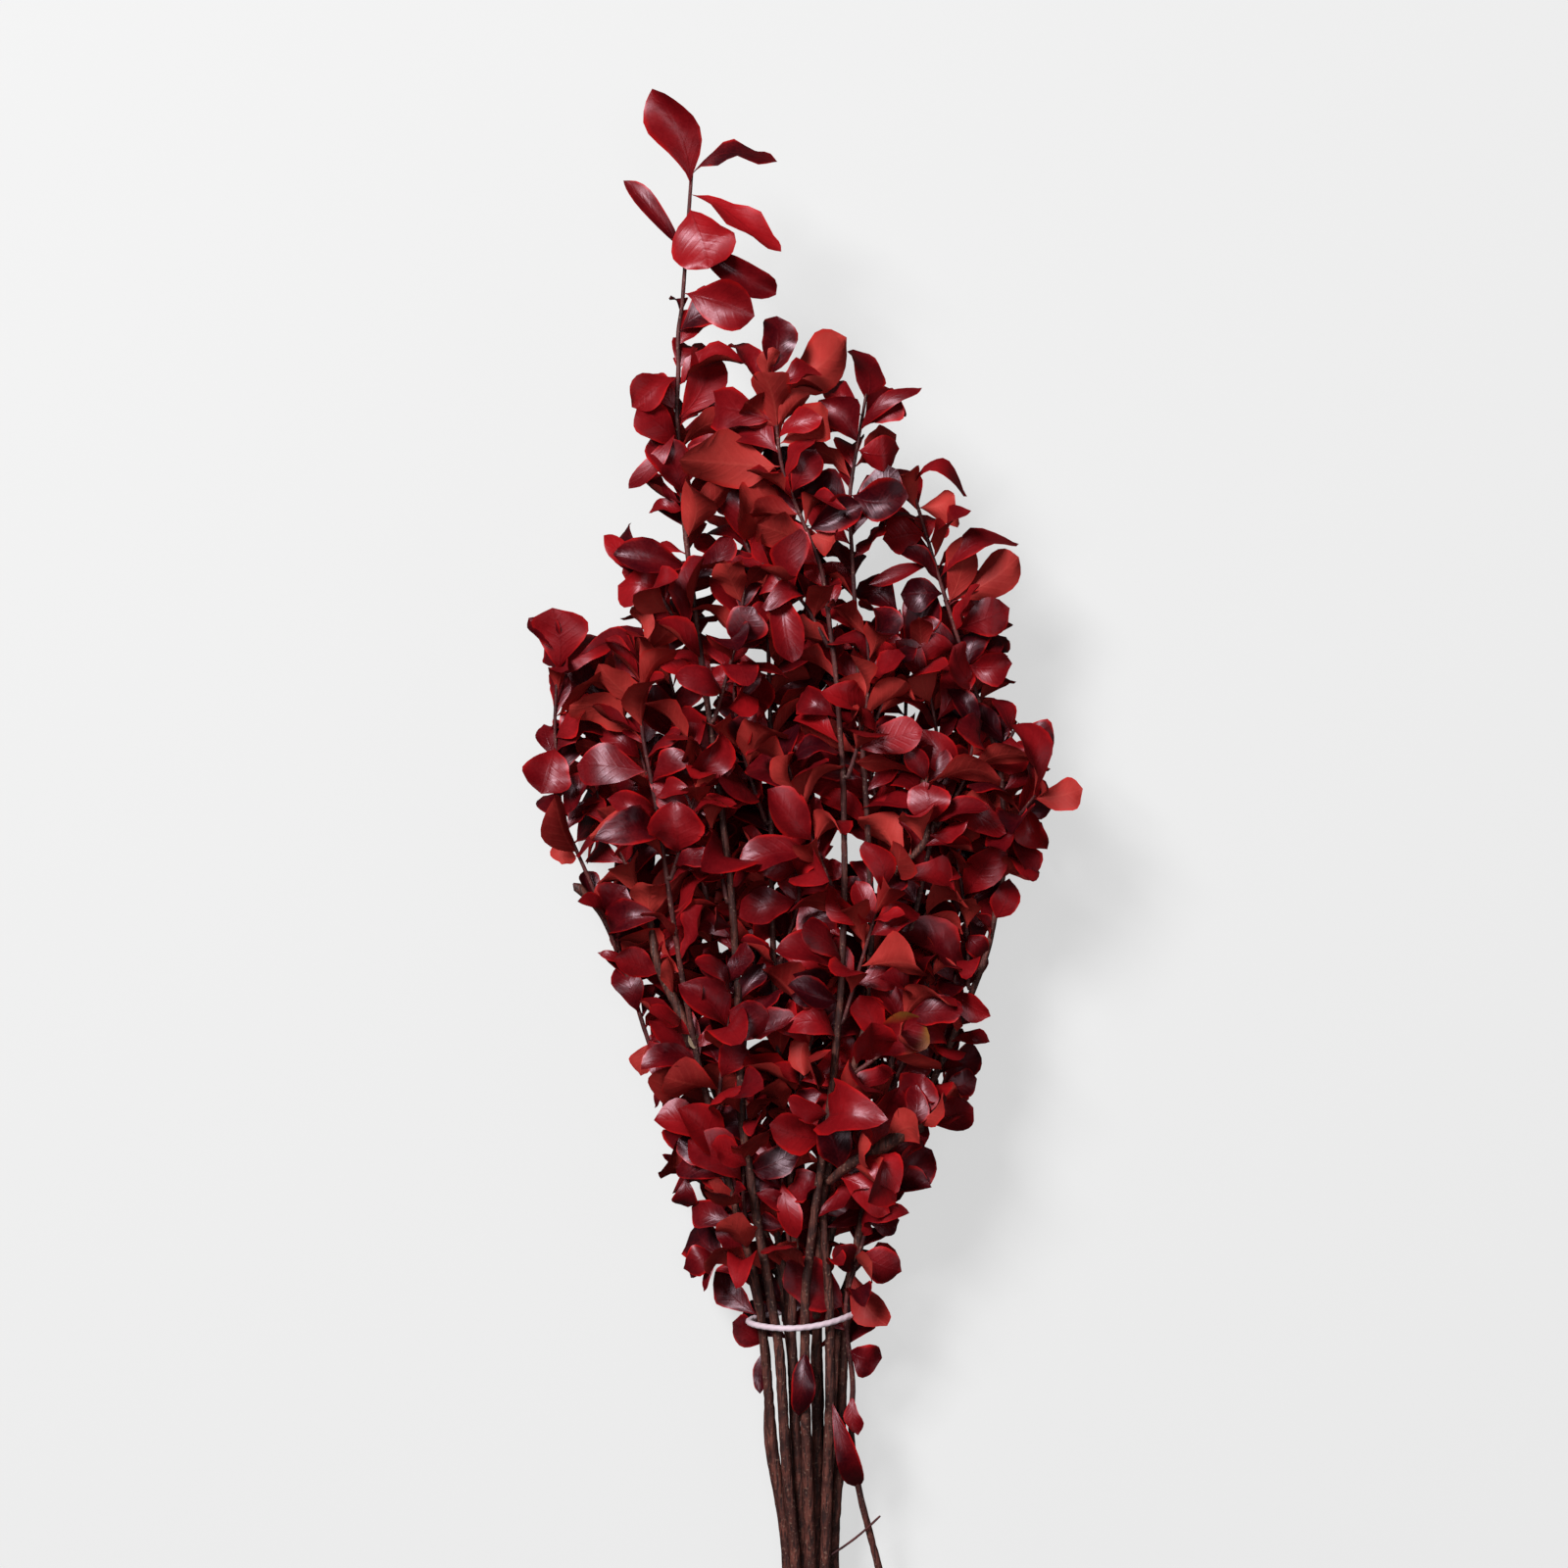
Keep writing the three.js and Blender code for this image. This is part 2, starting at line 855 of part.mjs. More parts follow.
function stemPoints(stem, nudge) {
  const [across, up] = stem.slot;
  const points = [];
  if (stem.foot) {
    const [column, row] = stem.foot[0];
    if (row < PLAN_CUT - 40) points.push(bundlePoint(PLAN_CUT, across, up));
    for (const [c, r] of stem.foot) points.push(place(c, r, bundlePoint(r, across, up).z));
  } else {
    for (const [row] of BUNDLE.slice(0, -1)) points.push(bundlePoint(row, across, up));
  }
  points.push(bundlePoint(TIE_ROW, across, up));
  const heightAtTie = up * between(BUNDLE, TIE_ROW, 3);
  for (const [column, row] of stem.route) {
    const spread = THREE.MathUtils.clamp((TIE_ROW - row) / (TIE_ROW - SPREAD_ROW), 0, 1);
    const own = THREE.MathUtils.lerp(heightAtTie, stem.layer + nudge, spread);
    points.push(place(column, row, axisHeight(row) + own));
  }
  return points;
}

function bundlePoint(row, across, up) {
  const column = between(BUNDLE, row, 1) + across * between(BUNDLE, row, 2);
  return place(column, row, axisHeight(row) + up * between(BUNDLE, row, 3));
}

const carriers = {};
for (const [name, stem] of Object.entries(STEMS)) {
  const thin = stem.thin ?? 1;
  const made = settle(NUDGES, (nudge) => {
    const curve = smooth(stemPoints(stem, nudge));
    const radii = [CUT_RADIUS * thin, TWIG_TIP_RADIUS];
    return { curve, radii, steps: STEM_STEPS, solid: bar(curve, ...radii, STEM_SIDES, STEM_STEPS) };
  });
  if (!made) throw new Error(name + " finds no way between its neighbours");
  stand(name, made.solid);
  carriers[name] = { name, ...made, plan: stem, kind: "stem" };
}

// The tie: one closed elastic loop round all the stems

const TIE_PIECES = 26;
const TIE_SIDES = 6;
const TIE_SAG = 0.45; // how far the front of the loop hangs below its slant, as a share of that slant
const TIE_FITS = [0.9, 0.91, 0.92, 0.93, 0.94, 0.95, 0.96, 0.97, 0.98, 0.99, 1]; // tightest first

function tieSolid(fit) {
  const tube = 0.1;
  const geometry = new THREE.TorusGeometry(1, tube, TIE_SIDES, TIE_PIECES);
  const corners = geometry.attributes.position;
  const [halfWidth, halfDepth] = TIE_SIZE.map((size) => size * fit);
  const centre = place(TIE_COLUMN, TIE_ROW, axisHeight(TIE_ROW));
  for (let i = 0; i < corners.count; i++) {
    const [x, y, z] = [corners.getX(i), corners.getY(i), corners.getZ(i)];
    const reach = Math.hypot(x, y);
    const [cos, sin] = [x / reach, y / reach];
    const outward = ((reach - 1) / tube) * TIE_RADIUS;
    const slant = TIE_SLOPE * (TIE_SAG * (1 + sin) * (1 - cos * cos) - cos);
    corners.setXYZ(
      i,
      centre.x + cos * (halfWidth + outward),
      centre.y + slant - (z / tube) * TIE_RADIUS,
      centre.z + sin * (halfDepth + outward),
    );
  }
  return solidOf(geometry);
}

const drawn = settle(TIE_FITS, (fit) => ({ solid: tieSolid(fit) }));
if (!drawn) throw new Error("the tie cuts into a stem");
const tie = drawn.solid;
stand("tie", tie);

// Twigs

const LEAST_FORK = THREE.MathUtils.degToRad(28); // least angle between a twig and its stem
const STUB = 5; // length over which a twig leaves its stem straight
const NUDGED_BY = 0.625; // share of a twig's length by which it has moved over by its whole nudge
const SEAT_GAP = GAP * 1.1;

// The way of a twig from its stem; slack is how much nearer to the stem it starts.
function twigCurve(twig, nudge, slack) {
  const carrier = carriers[twig.stem];
  const share = shareAtRow(carrier.curve, twig.from);
  const fork = axisPoint(carrier, share);
  const along = carrier.curve.getTangentAt(share);
  const stemRadius = THREE.MathUtils.lerp(...carrier.radii, share);
  const points = twig.route.map(([column, row], i) => {
    const reach = (i + 1) / twig.route.length;
    const moved = Math.sin((Math.min(reach / NUDGED_BY, 1) * Math.PI) / 2);
    return place(column, row, fork.z + twig.rise * reach + nudge * moved);
  });
  const out = points[0].clone().sub(fork).normalize();
  if (along.angleTo(out) < LEAST_FORK) {
    const across = out.clone().addScaledVector(along, -along.dot(out)).normalize();
    out.copy(along).multiplyScalar(Math.cos(LEAST_FORK)).addScaledVector(across, Math.sin(LEAST_FORK));
  }
  const angle = along.angleTo(out);
  const radius = twig.radius ?? TWIG_RADIUS;
  const start = (stemRadius + SEAT_GAP + radius * Math.abs(Math.cos(angle)) - slack) / Math.sin(angle);
  return smooth([
    fork.clone().addScaledVector(out, start),
    fork.clone().addScaledVector(out, start + STUB),
    ...points,
  ]);
}

function twigAt(twig, nudge, slack, radii) {
  const curve = twigCurve(twig, nudge, slack);
  const steps = Math.max(2, Math.round(curve.getLength() / TWIG_STEP));
  return { curve, radii, steps, solid: bar(curve, ...radii, TWIG_SIDES, steps) };
}

// A twig is tried, its distance from its stem is measured, and it is moved up to that stem.
function growTwig(name, twig, radii) {
  const stem = carriers[twig.stem].solid;
  const made = settle(NUDGES, (nudge) => {
    const tried = twigAt(twig, nudge, 0, radii);
    return twigAt(twig, nudge, tried.solid.minGap(stem, STUB) - SEAT_GAP, radii);
  });
  if (!made) throw new Error(name + " finds no way between its neighbours");
  stand(name, made.solid);
  carriers[name] = { name, ...made, plan: twig, kind: "spray" };
}

for (const [name, twig] of Object.entries(SPRAYS)) growTwig(name, twig, [TWIG_RADIUS, TWIG_TIP_RADIUS]);
growTwig("bare_twig", { ...BARE_TWIG, radius: BARE_TWIG_RADIUS }, [BARE_TWIG_RADIUS, BARE_TWIG_RADIUS]);

// Leaves

// A leaf as a thin kite: a ball of three slices and two bands, so a spindle with five corners.
// Its poles become the base and the tip, its waist the two edges and the keel.
function leafSolid({ base, tip, upward, width, arch }) {
  const along = tip.clone().sub(base);
  const direction = along.clone().normalize();
  const normal = upward.clone().addScaledVector(direction, -upward.dot(direction)).normalize();
  const side = direction.clone().cross(normal);
  const waist = base.clone().addScaledVector(along, LEAF_WAIST).addScaledVector(normal, arch);
  const edge = (sign) => waist.clone().addScaledVector(side, (sign * width) / 2);
  const ring = [edge(1), waist.clone().addScaledVector(normal, -KEEL), edge(-1)];
  const geometry = new THREE.SphereGeometry(1, ring.length, 2);
  const corners = geometry.attributes.position;
  for (let i = 0; i < corners.count; i++) {
    const [x, y, z] = [corners.getX(i), corners.getY(i), corners.getZ(i)];
    const slice = Math.round(((Math.atan2(z, -x) / (2 * Math.PI)) * ring.length + ring.length) % ring.length);
    const spot = Math.abs(y) > 0.5 ? (y > 0 ? tip : base) : ring[slice % ring.length];
    corners.setXYZ(i, spot.x, spot.y, spot.z);
  }
  return solidOf(geometry);
}

const LIFTINGS = 8;
const OVERLIFT = 1.15; // the tip rises by a little more than the leaf lacks

// Lifts the tip of a leaf that would go through the table until its lowest corner lies on it.
function rested(leaf) {
  const tip = leaf.tip.clone();
  for (let i = 0; i < LIFTINGS; i++) {
    const low = boxOf(leafSolid({ ...leaf, tip })).min.z;
    if (low >= 0) break;
    tip.z -= low * OVERLIFT;
  }
  return { ...leaf, tip };
}

const TURNS = [0, 18, -18, 36, -36, 54, -54]; // tried one after another about the leaf's length
const LIFTS = [0, 4, -4, 8, -8, 12]; // of its tip
const NARROWINGS = [1, 0.88, 0.76]; // of its width
const leavesOf = Object.fromEntries(Object.keys(carriers).map((name) => [name, []]));

function growLeaf(carrier, choices) {
  const made = settle(
    choices,
    (choice) => {
      const leaf = rested(choice);
      const solid = leafSolid(leaf);
      return { leaf, solid };
    },
    [carrier.name],
  );
  if (!made) return false;
  stand(carrier.name + " leaf", made.solid);
  leavesOf[carrier.name].push(made.solid);
  return true;
}

// The base of a leaf sits a little past its twig's axis, so that the two are one solid.
const SUNK = 0.5;

function placedLeaf(carrier, row) {
  const [baseColumn, baseRow, tipColumn, tipRow, width, rise, roll, arch] = row;
  const share = nearest(carrier.curve, (p) => Math.hypot(planOf(p)[0] - baseColumn, planOf(p)[1] - baseRow));
  const seat = axisPoint(carrier, share);
  const ways = NARROWINGS.flatMap((less) => LIFTS.flatMap((lift) => TURNS.map((turn) => [less, lift, turn])));
  return ways.map(([less, lift, turn]) => {
    const tip = place(tipColumn, tipRow, Math.max(seat.z + rise + lift, 1));
    const direction = tip.clone().sub(seat).normalize();
    const side = direction.clone().cross(UP).normalize();
    const upward = side.cross(direction).applyAxisAngle(direction, THREE.MathUtils.degToRad(roll + turn));
    const base = seat.clone().addScaledVector(direction, -SUNK);
    return { base, tip, upward, width: width * less, arch };
  });
}

for (const carrier of Object.values(carriers))
  for (const row of carrier.plan.leaves ?? []) growLeaf(carrier, placedLeaf(carrier, row));

// Leaves grown by rule: a spiral along the twig, shorter and steeper towards its tip.
const GOLDEN_TURN = THREE.MathUtils.degToRad(137.5);
const OPENINGS = [72, 38]; // degrees between leaf and twig, at the twig's start and at its tip
const OPENING_SPREAD = 24;
const SPIRAL_SPREAD = 0.5; // how far a leaf strays about its twig, in radians
const SPREAD_GAIN = 0.25; // and how much further with each new try
const TRIES = 14;
const LENGTHS = [0.82, 1.18]; // of leaves of one size, as shares of it
const SHORTENING = 0.96; // of a leaf with each new try
const TWIST = 2.2; // range of the turn about its own length, in radians
const SKYWARD = 0.35; // how much a leaf's face looks up rather than along its twig
const WIDTHS = [0.85, 1.15];
const ARCHES = [1, 5];
const random = randomFrom(SEED);

function insideOutline(point) {
  const [column, row] = planOf(point);
  return column > between(OUTLINE, row, 1) && column < between(OUTLINE, row, 2) && row > OUTLINE[0][0];
}

const within = ([low, high]) => THREE.MathUtils.lerp(low, high, random());
const about = (range) => (random() - 0.5) * range;

function grownLeaf(carrier, share, spin, size) {
  const seat = axisPoint(carrier, share);
  const along = carrier.curve.getTangentAt(share);
  const side = along.clone().cross(UP).normalize();
  const choices = [];
  for (let attempt = 0; attempt < TRIES; attempt++) {
    const turn = spin + about(SPIRAL_SPREAD + attempt * SPREAD_GAIN);
    const open = THREE.MathUtils.degToRad(THREE.MathUtils.lerp(...OPENINGS, share) + about(OPENING_SPREAD));
    const outward = side.clone().applyAxisAngle(along, turn);
    const direction = along.clone().multiplyScalar(Math.cos(open)).addScaledVector(outward, Math.sin(open));
    const length = LEAF_LENGTH * size * within(LENGTHS) * SHORTENING ** attempt;
    const tip = seat.clone().addScaledVector(direction, length);
    const upward = along.clone().addScaledVector(UP, SKYWARD).applyAxisAngle(direction, about(TWIST));
    const width = length * (LEAF_WIDTH / LEAF_LENGTH) * within(WIDTHS);
    const base = seat.clone().addScaledVector(direction, -SUNK);
    const arch = within(ARCHES);
    if (insideOutline(tip)) choices.push({ base, tip, upward, width, arch });
  }
  return choices;
}

function growAlong(carrier, count, leafy, sizes) {
  for (let i = 0; i < count; i++) {
    const reach = (i + 0.5) / count;
    const share = THREE.MathUtils.lerp(...leafy, reach);
    const size = THREE.MathUtils.lerp(...sizes, reach);
    growLeaf(carrier, grownLeaf(carrier, share, i * GOLDEN_TURN + count, size));
  }
}

const TWIG_LEAFY = [0.14, 0.98]; // shares of a twig between which leaves grow
const SIZES = [1.05, 0.7]; // of its leaves, from the twig's start to its tip
const LOW_ROWS = [1320, 1110]; // where every stem bears a few leaves just above the tie
const LOW_LEAVES = 4;
const LOW_SIZES = [0.85, 1];
for (const carrier of Object.values(carriers)) {
  const { plan, curve, kind } = carrier;
  const rows = (range) => range.map((row) => shareAtRow(curve, row));
  growAlong(carrier, plan.fill ?? 0, kind === "stem" ? rows(plan.leafy) : TWIG_LEAFY, SIZES);
  if (kind === "stem") growAlong(carrier, LOW_LEAVES, rows(LOW_ROWS), LOW_SIZES);
}

// The assembly

const COLOURS = {
  stem: { color: 0x5d3b32, roughness: 0.8 },
  spray: { color: 0x8a1520, roughness: 0.45 },
  tie: { color: 0xe0c9d4, roughness: 0.6 },
};

function pieceOf(name, solid, look) {
  const { vertProperties, triVerts } = solid.getMesh();
  const geometry = new THREE.BufferGeometry()
    .setAttribute("position", new THREE.BufferAttribute(new Float32Array(vertProperties), 3))
    .setIndex(new THREE.BufferAttribute(new Uint32Array(triVerts), 1));
  geometry.computeVertexNormals();
  const mesh = new THREE.Mesh(geometry, new THREE.MeshStandardMaterial({ ...COLOURS[look], metalness: 0 }));
  mesh.name = name;
  return mesh;
}

const FINEST = 0.005; // edges shorter than this, left where a leaf meets its twig, are closed up

const bunch = new THREE.Group();
bunch.name = "preserved_pittosporum";
for (const { name, solid, kind } of Object.values(carriers)) {
  const whole = leavesOf[name].reduce((sum, leaf) => sum.add(leaf), solid).simplify(FINEST);
  bunch.add(pieceOf(kind === "stem" ? name + "_stem" : name, whole, kind));
}
bunch.add(pieceOf("tie", tie, "tie"));

// The origin goes under the middle of the whole bunch.
const box = new THREE.Box3().setFromObject(bunch);
const middle = box.getCenter(new THREE.Vector3());
bunch.position.set(-middle.x, -middle.y, -box.min.z);

export default bunch;
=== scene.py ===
# %% [markdown]
# # A tied bunch of red preserved pittosporum
#
# The real object is a florist's bunch: fourteen woody stems, cut to one length, that carry about
# a thousand leathery leaves on thin side twigs. The leaves have been dyed deep red, and they curl
# and fold as they stiffen. One pale elastic loop holds the stems together above their cut ends.
# The bunch has nothing to stand in, so it lies on a table and is seen straight from above.
#
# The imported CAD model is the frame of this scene. It says where each stem, twig and leaf is, and
# how large it is. This script reads those places and grows the finished plant on them.

import math

import bmesh
import bpy
import numpy as np
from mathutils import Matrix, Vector


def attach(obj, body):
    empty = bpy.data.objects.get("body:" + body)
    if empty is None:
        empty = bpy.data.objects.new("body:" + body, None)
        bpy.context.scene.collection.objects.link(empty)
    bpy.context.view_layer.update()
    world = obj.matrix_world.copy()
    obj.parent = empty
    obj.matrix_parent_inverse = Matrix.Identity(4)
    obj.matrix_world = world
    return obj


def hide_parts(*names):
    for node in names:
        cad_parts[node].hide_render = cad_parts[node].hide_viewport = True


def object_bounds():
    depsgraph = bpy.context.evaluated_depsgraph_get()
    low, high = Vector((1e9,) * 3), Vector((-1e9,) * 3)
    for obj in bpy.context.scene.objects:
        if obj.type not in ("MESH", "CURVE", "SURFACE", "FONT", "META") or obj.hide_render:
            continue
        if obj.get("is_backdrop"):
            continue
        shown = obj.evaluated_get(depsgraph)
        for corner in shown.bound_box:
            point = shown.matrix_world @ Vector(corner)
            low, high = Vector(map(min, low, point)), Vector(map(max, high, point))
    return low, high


MM = 0.001
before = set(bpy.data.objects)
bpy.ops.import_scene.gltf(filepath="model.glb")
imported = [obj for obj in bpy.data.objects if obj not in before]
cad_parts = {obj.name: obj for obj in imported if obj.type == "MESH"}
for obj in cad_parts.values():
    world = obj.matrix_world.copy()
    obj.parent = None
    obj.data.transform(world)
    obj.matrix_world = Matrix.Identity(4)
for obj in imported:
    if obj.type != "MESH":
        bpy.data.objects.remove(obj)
cad_box = [list(corner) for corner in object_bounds()]
wood_names = sorted(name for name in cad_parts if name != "tie")
print("the frame holds", len(wood_names), "stems and twigs and one tie")

# %% [markdown]
# ## The eye above the table
#
# The photograph looks at the bunch square on, so the camera hangs straight above the table with
# the leaf tips at the top of the picture. It could be aimed by trial, but the frame was laid out
# under an eye at a known height, so the same height, place and picture width are used here.

# %% Camera
EYE = Vector((-8.48, 59.62, 1660.0)) * MM
SIGHT_WIDTH = 736.2 * MM  # width that the picture covers 60 mm above the table
SIGHT_DISTANCE = 1600 * MM

camera_data = bpy.data.cameras.new("eye")
camera_data.sensor_width = 36
camera_data.lens = camera_data.sensor_width * SIGHT_DISTANCE / SIGHT_WIDTH
camera = bpy.data.objects.new("eye", camera_data)
camera.location = EYE
bpy.context.scene.collection.objects.link(camera)
bpy.context.scene.camera = camera
print("the lens is", round(camera_data.lens, 1), "mm long")

# %% [markdown]
# ## Reading the leaves of the frame
#
# In the frame each leaf is a thin kite with five corners: a base hidden in the wood, a tip, two
# edges and a keel that lies a fixed depth below the upper face. The tip is easy to find, because
# it is the only kind of corner that meets exactly three others. From the tip, the edges and the
# keel follow the leaf's length, its width, how far it arches, and which side of it is the face.

# %% Leaves
KEEL = 1.4 * MM  # depth of the keel below the upper face
KEEL_ERROR = 0.1 * MM  # how far a measured keel may be from that depth
WAIST = 0.54  # share of a leaf's length at which it is widest
WELD = 0.002 * MM  # corners nearer than this are one


def welded(name):
    """A node of the frame, with the corners that its loose triangles share made one."""
    mesh = bmesh.new()
    mesh.from_mesh(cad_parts[name].data)
    bmesh.ops.remove_doubles(mesh, verts=mesh.verts, dist=WELD)
    return mesh


def leaf_at(corner):
    """The leaf with its tip at this corner of a mesh, or None, and the corners that belong to it."""
    around = [edge.other_vert(corner) for edge in corner.link_edges]
    if len(around) != 3:
        return None, ()
    best = None
    for keel in around:
        left, right = (vert for vert in around if vert is not keel)
        rise = (left.co + right.co) / 2 - keel.co
        error = abs(rise.length - KEEL)
        if error < KEEL_ERROR and (best is None or error < best[0]):
            best = error, keel, left, right, rise.normalized()
    if best is None:
        return None, ()
    _, keel, left, right, face = best
    waist = (left.co + right.co) / 2
    arch = (waist - corner.co).dot(face)
    seat = corner.co - (corner.co - (waist - face * arch)) / (1 - WAIST)
    leaf = {
        "seat": np.array(seat),
        "tip": np.array(corner.co),
        "face": np.array(face),
        "width": (left.co - right.co).length,
        "arch": arch,
    }
    return leaf, (corner, left, right, keel)


# %% [markdown]
# ## Reading the wood of the frame
#
# What is left of a node without its leaves is one long, bent bar. Its middle line is found the way
# a joiner would find it: by cutting the bar across many times and marking the middle of each cut.
# The leaves leave small wounds in the bar, so the marks are evened out along the line.

# %% Middle lines
CUT_STEP = 6 * MM
END_STEP = 1.2 * MM  # from an end of the bar to its first cut


def crossing(triangles, heights, level):
    """Where a level cuts the triangles: the middle of the cut and its mean distance from there."""
    points, weights = [], []
    for triangle, height in zip(triangles, heights):
        above = height > level
        if above.all() or not above.any():
            continue
        ends = []
        for a, b in ((0, 1), (1, 2), (2, 0)):
            if above[a] != above[b]:
                share = (level - height[a]) / (height[b] - height[a])
                ends.append(triangle[a] + (triangle[b] - triangle[a]) * share)
        points.append((ends[0] + ends[1]) / 2)
        weights.append(np.linalg.norm(ends[0] - ends[1]) + 1e-12)
    points, weights = np.array(points), np.array(weights)
    middle = (points * weights[:, None]).sum(0) / weights.sum()
    return middle, (np.linalg.norm(points - middle, axis=1) * weights).sum() / weights.sum()


def middle_line(mesh, leaf_corners):
    """The middle line of a shoot's wood, and its radius at each point of the line."""
    wood = [face for face in mesh.faces if not any(vert in leaf_corners for vert in face.verts)]
    triangles = np.array([[vert.co[:] for vert in face.verts] for face in wood])
    cloud = triangles.reshape(-1, 3)
    lengthwise = np.linalg.svd(cloud - cloud.mean(0), full_matrices=False)[2][0]
    lengthwise *= np.sign(lengthwise[1])
    heights = triangles @ lengthwise
    low, high = heights.min() + END_STEP, heights.max() - END_STEP
    levels = np.linspace(low, high, max(4, round((high - low) / CUT_STEP)))
    cuts = [crossing(triangles, heights, level) for level in levels]
    line, radii = np.array([cut[0] for cut in cuts]), np.array([cut[1] for cut in cuts])
    for _ in range(2):
        line[1:-1] = line[:-2] / 4 + line[1:-1] / 2 + line[2:] / 4
    slope = np.polyfit(np.arange(len(radii)), radii, 1)
    radii = np.polyval(slope, np.arange(len(radii)))
    first, last = line[0] - line[1], line[-1] - line[-2]
    start = line[0] + first / np.linalg.norm(first) * END_STEP
    end = line[-1] + last / np.linalg.norm(last) * END_STEP
    return np.vstack([start, line, end]), np.concatenate([radii[:1], radii, radii[-1:]])


plant = {}
for name in wood_names:
    mesh = welded(name)
    leaves, leaf_corners = [], set()
    for vert in mesh.verts:
        leaf, corners = leaf_at(vert)
        if leaf:
            leaves.append(leaf)
            leaf_corners.update(corners)
    line, radii = middle_line(mesh, leaf_corners)
    plant[name] = {"line": line, "radii": radii, "leaves": leaves}
    mesh.free()
print("read", sum(len(shoot["leaves"]) for shoot in plant.values()), "leaves")

# %% [markdown]
# ## More leaves by the plant's own rule
#
# The frame carries the leaves that give the bunch its outline. Between them the real plant is so
# dense that hardly any light comes through. The missing leaves could be scattered at random, but
# pittosporum sets each leaf about 137.5 degrees round the twig from the last, so that rule is
# followed here. A leaf is kept only where it has room: no point of its flat blade may come nearer
# than a few millimetres to another blade or to wood, and the blade stays within the frame's
# outline. The blades are bent later without a second test, so many finished leaves still cross.

# %% Room for a leaf
ROOM = 2.4 * MM
BLADE_ROWS = (0.35, 0.52, 0.7, 0.88)  # shares of a leaf's length at which its blade is tested
random = np.random.default_rng(11)
crowd = {}


def cell_of(point):
    """The small cube of space that a point is in."""
    return tuple((point // ROOM).astype(int))


def fill(points):
    """Marks the points as taken."""
    for point in points:
        crowd.setdefault(cell_of(point), []).append(point)


def has_room(points):
    """Whether the points are all clear of what is taken."""
    for point in points:
        x, y, z = cell_of(point)
        for cell in ((x + i, y + j, z + k) for i in (-1, 0, 1) for j in (-1, 0, 1) for k in (-1, 0, 1)):
            if any(np.linalg.norm(other - point) < ROOM for other in crowd.get(cell, ())):
                return False
    return True


def blade_points(leaf):
    """Points spread over a leaf's blade, clear of its stalk."""
    along = leaf["tip"] - leaf["seat"]
    side = np.cross(along / np.linalg.norm(along), leaf["face"])
    points = []
    for v in BLADE_ROWS:
        middle = leaf["seat"] + along * v + leaf["face"] * leaf["arch"] * 4 * v * (1 - v)
        half = leaf["width"] / 2 * math.sin(math.pi * v**1.4)
        points += [middle + side * half * u for u in (-1, -0.5, 0, 0.5, 1)]
    return points


for shoot in plant.values():
    fill(shoot["line"])
    for leaf in shoot["leaves"]:
        fill(blade_points(leaf))
print(len(crowd), "cells of the bunch are taken")

# %% Outline of the frame, row by row
ROW = 4 * MM
BAND = 10 * MM  # how far from a row a tip or a stem may be to count for its width
CEILING = 118 * MM  # highest place of a blade above the table
LOWEST_BLADE = 0.5 * MM
tips = [leaf["tip"] for shoot in plant.values() for leaf in shoot["leaves"]]
marks = np.vstack([tips, *(shoot["line"] for shoot in plant.values())])
outline = {}
for row in range(round(cad_box[0][1] / ROW), round(cad_box[1][1] / ROW) + 1):
    across = marks[np.abs(marks[:, 1] - row * ROW) < BAND, 0]
    if len(across) > 3:
        outline[row] = across.min(), across.max()


def inside_outline(point):
    """Whether the frame is as wide as this where the point is."""
    left, right = outline.get(round(point[1] / ROW), (0, 0))
    return left < point[0] < right and LOWEST_BLADE < point[2] < CEILING


print("the outline has", len(outline), "rows")

# %% Windows
# Places where the photograph shows the table between the stems: middle and half size in plan.
WINDOWS = [
    [(37, 150), (9, 17)],
    [(-35, 135), (4, 10)],
    [(-64, 97), (9, 14)],
    [(-97, 24), (9, 8)],
    [(20, 29), (8, 4)],
]


def in_window(point):
    """Whether the point would close one of the windows."""
    for (x, y), (a, b) in WINDOWS:
        if ((point[0] / MM - x) / a) ** 2 + ((point[1] / MM - y) / b) ** 2 < 1:
            return True
    return False


print("the table shows through", len(WINDOWS), "windows")

# %% Stems in sight
# Stems that run along the top of the bunch stay in sight, so no leaf is added over them.
FRONT = 62 * MM  # height above which a stem counts as one of these
STEM_WIDTH = 3.2 * MM  # room that is kept free on each side of it
front = np.vstack([shoot["line"] for name, shoot in plant.items() if name.endswith("_stem")])
front = front[front[:, 2] > FRONT]


def hides_stem(points):
    """Whether one of the points lies over a stem that stays in sight."""
    for point in points:
        over = np.abs(front - point) < STEM_WIDTH
        if (over[:, 0] & over[:, 1] & (point[2] > front[:, 2])).any():
            return True
    return False


print(len(front), "stem marks stay in sight")

# %% Growing them
GOLDEN_TURN = math.radians(137.5)
LEAF_STEP = 6 * MM  # along a twig, from one leaf to the next
TRIES = 16  # a seat is left empty after so many leaves that don't fit
LEAFY = {"stem": (0.19, 0.99), "twig": (0.1, 1.0)}  # shares of the wood between which leaves sit
BARE = 0.42  # share of a stem below which only the leaves pressed under the bundle are left
UNDERSIDE = 27 * MM  # height below which a leaf is one of these
LEAFY_ROWS = -212 * MM, 268 * MM  # the foot of the bunch and its highest shoot are nearly bare
PRESSED = np.array((1, 1, 0.6))  # the bunch was packed flat, so its leaves lie flatter than they grew
OPENING = (35, 80)  # degrees between the wood and a leaf
LEAF_LENGTHS = (22, 41)  # millimetres
LEAF_WIDTHS = (0.44, 0.6)  # shares of the length
ARCHES = (-2.5, 6)  # millimetres
SKY_PULL = 0.35  # how much the faces turn up
FACE_TILT = 1.2  # radians to either side
TURN_SPREAD = 0.4  # radians that a leaf may stray from the spiral, and more with each try
MORE_SPREAD = 0.15
SHRINKING = 0.025  # share of its size that a leaf loses with each try


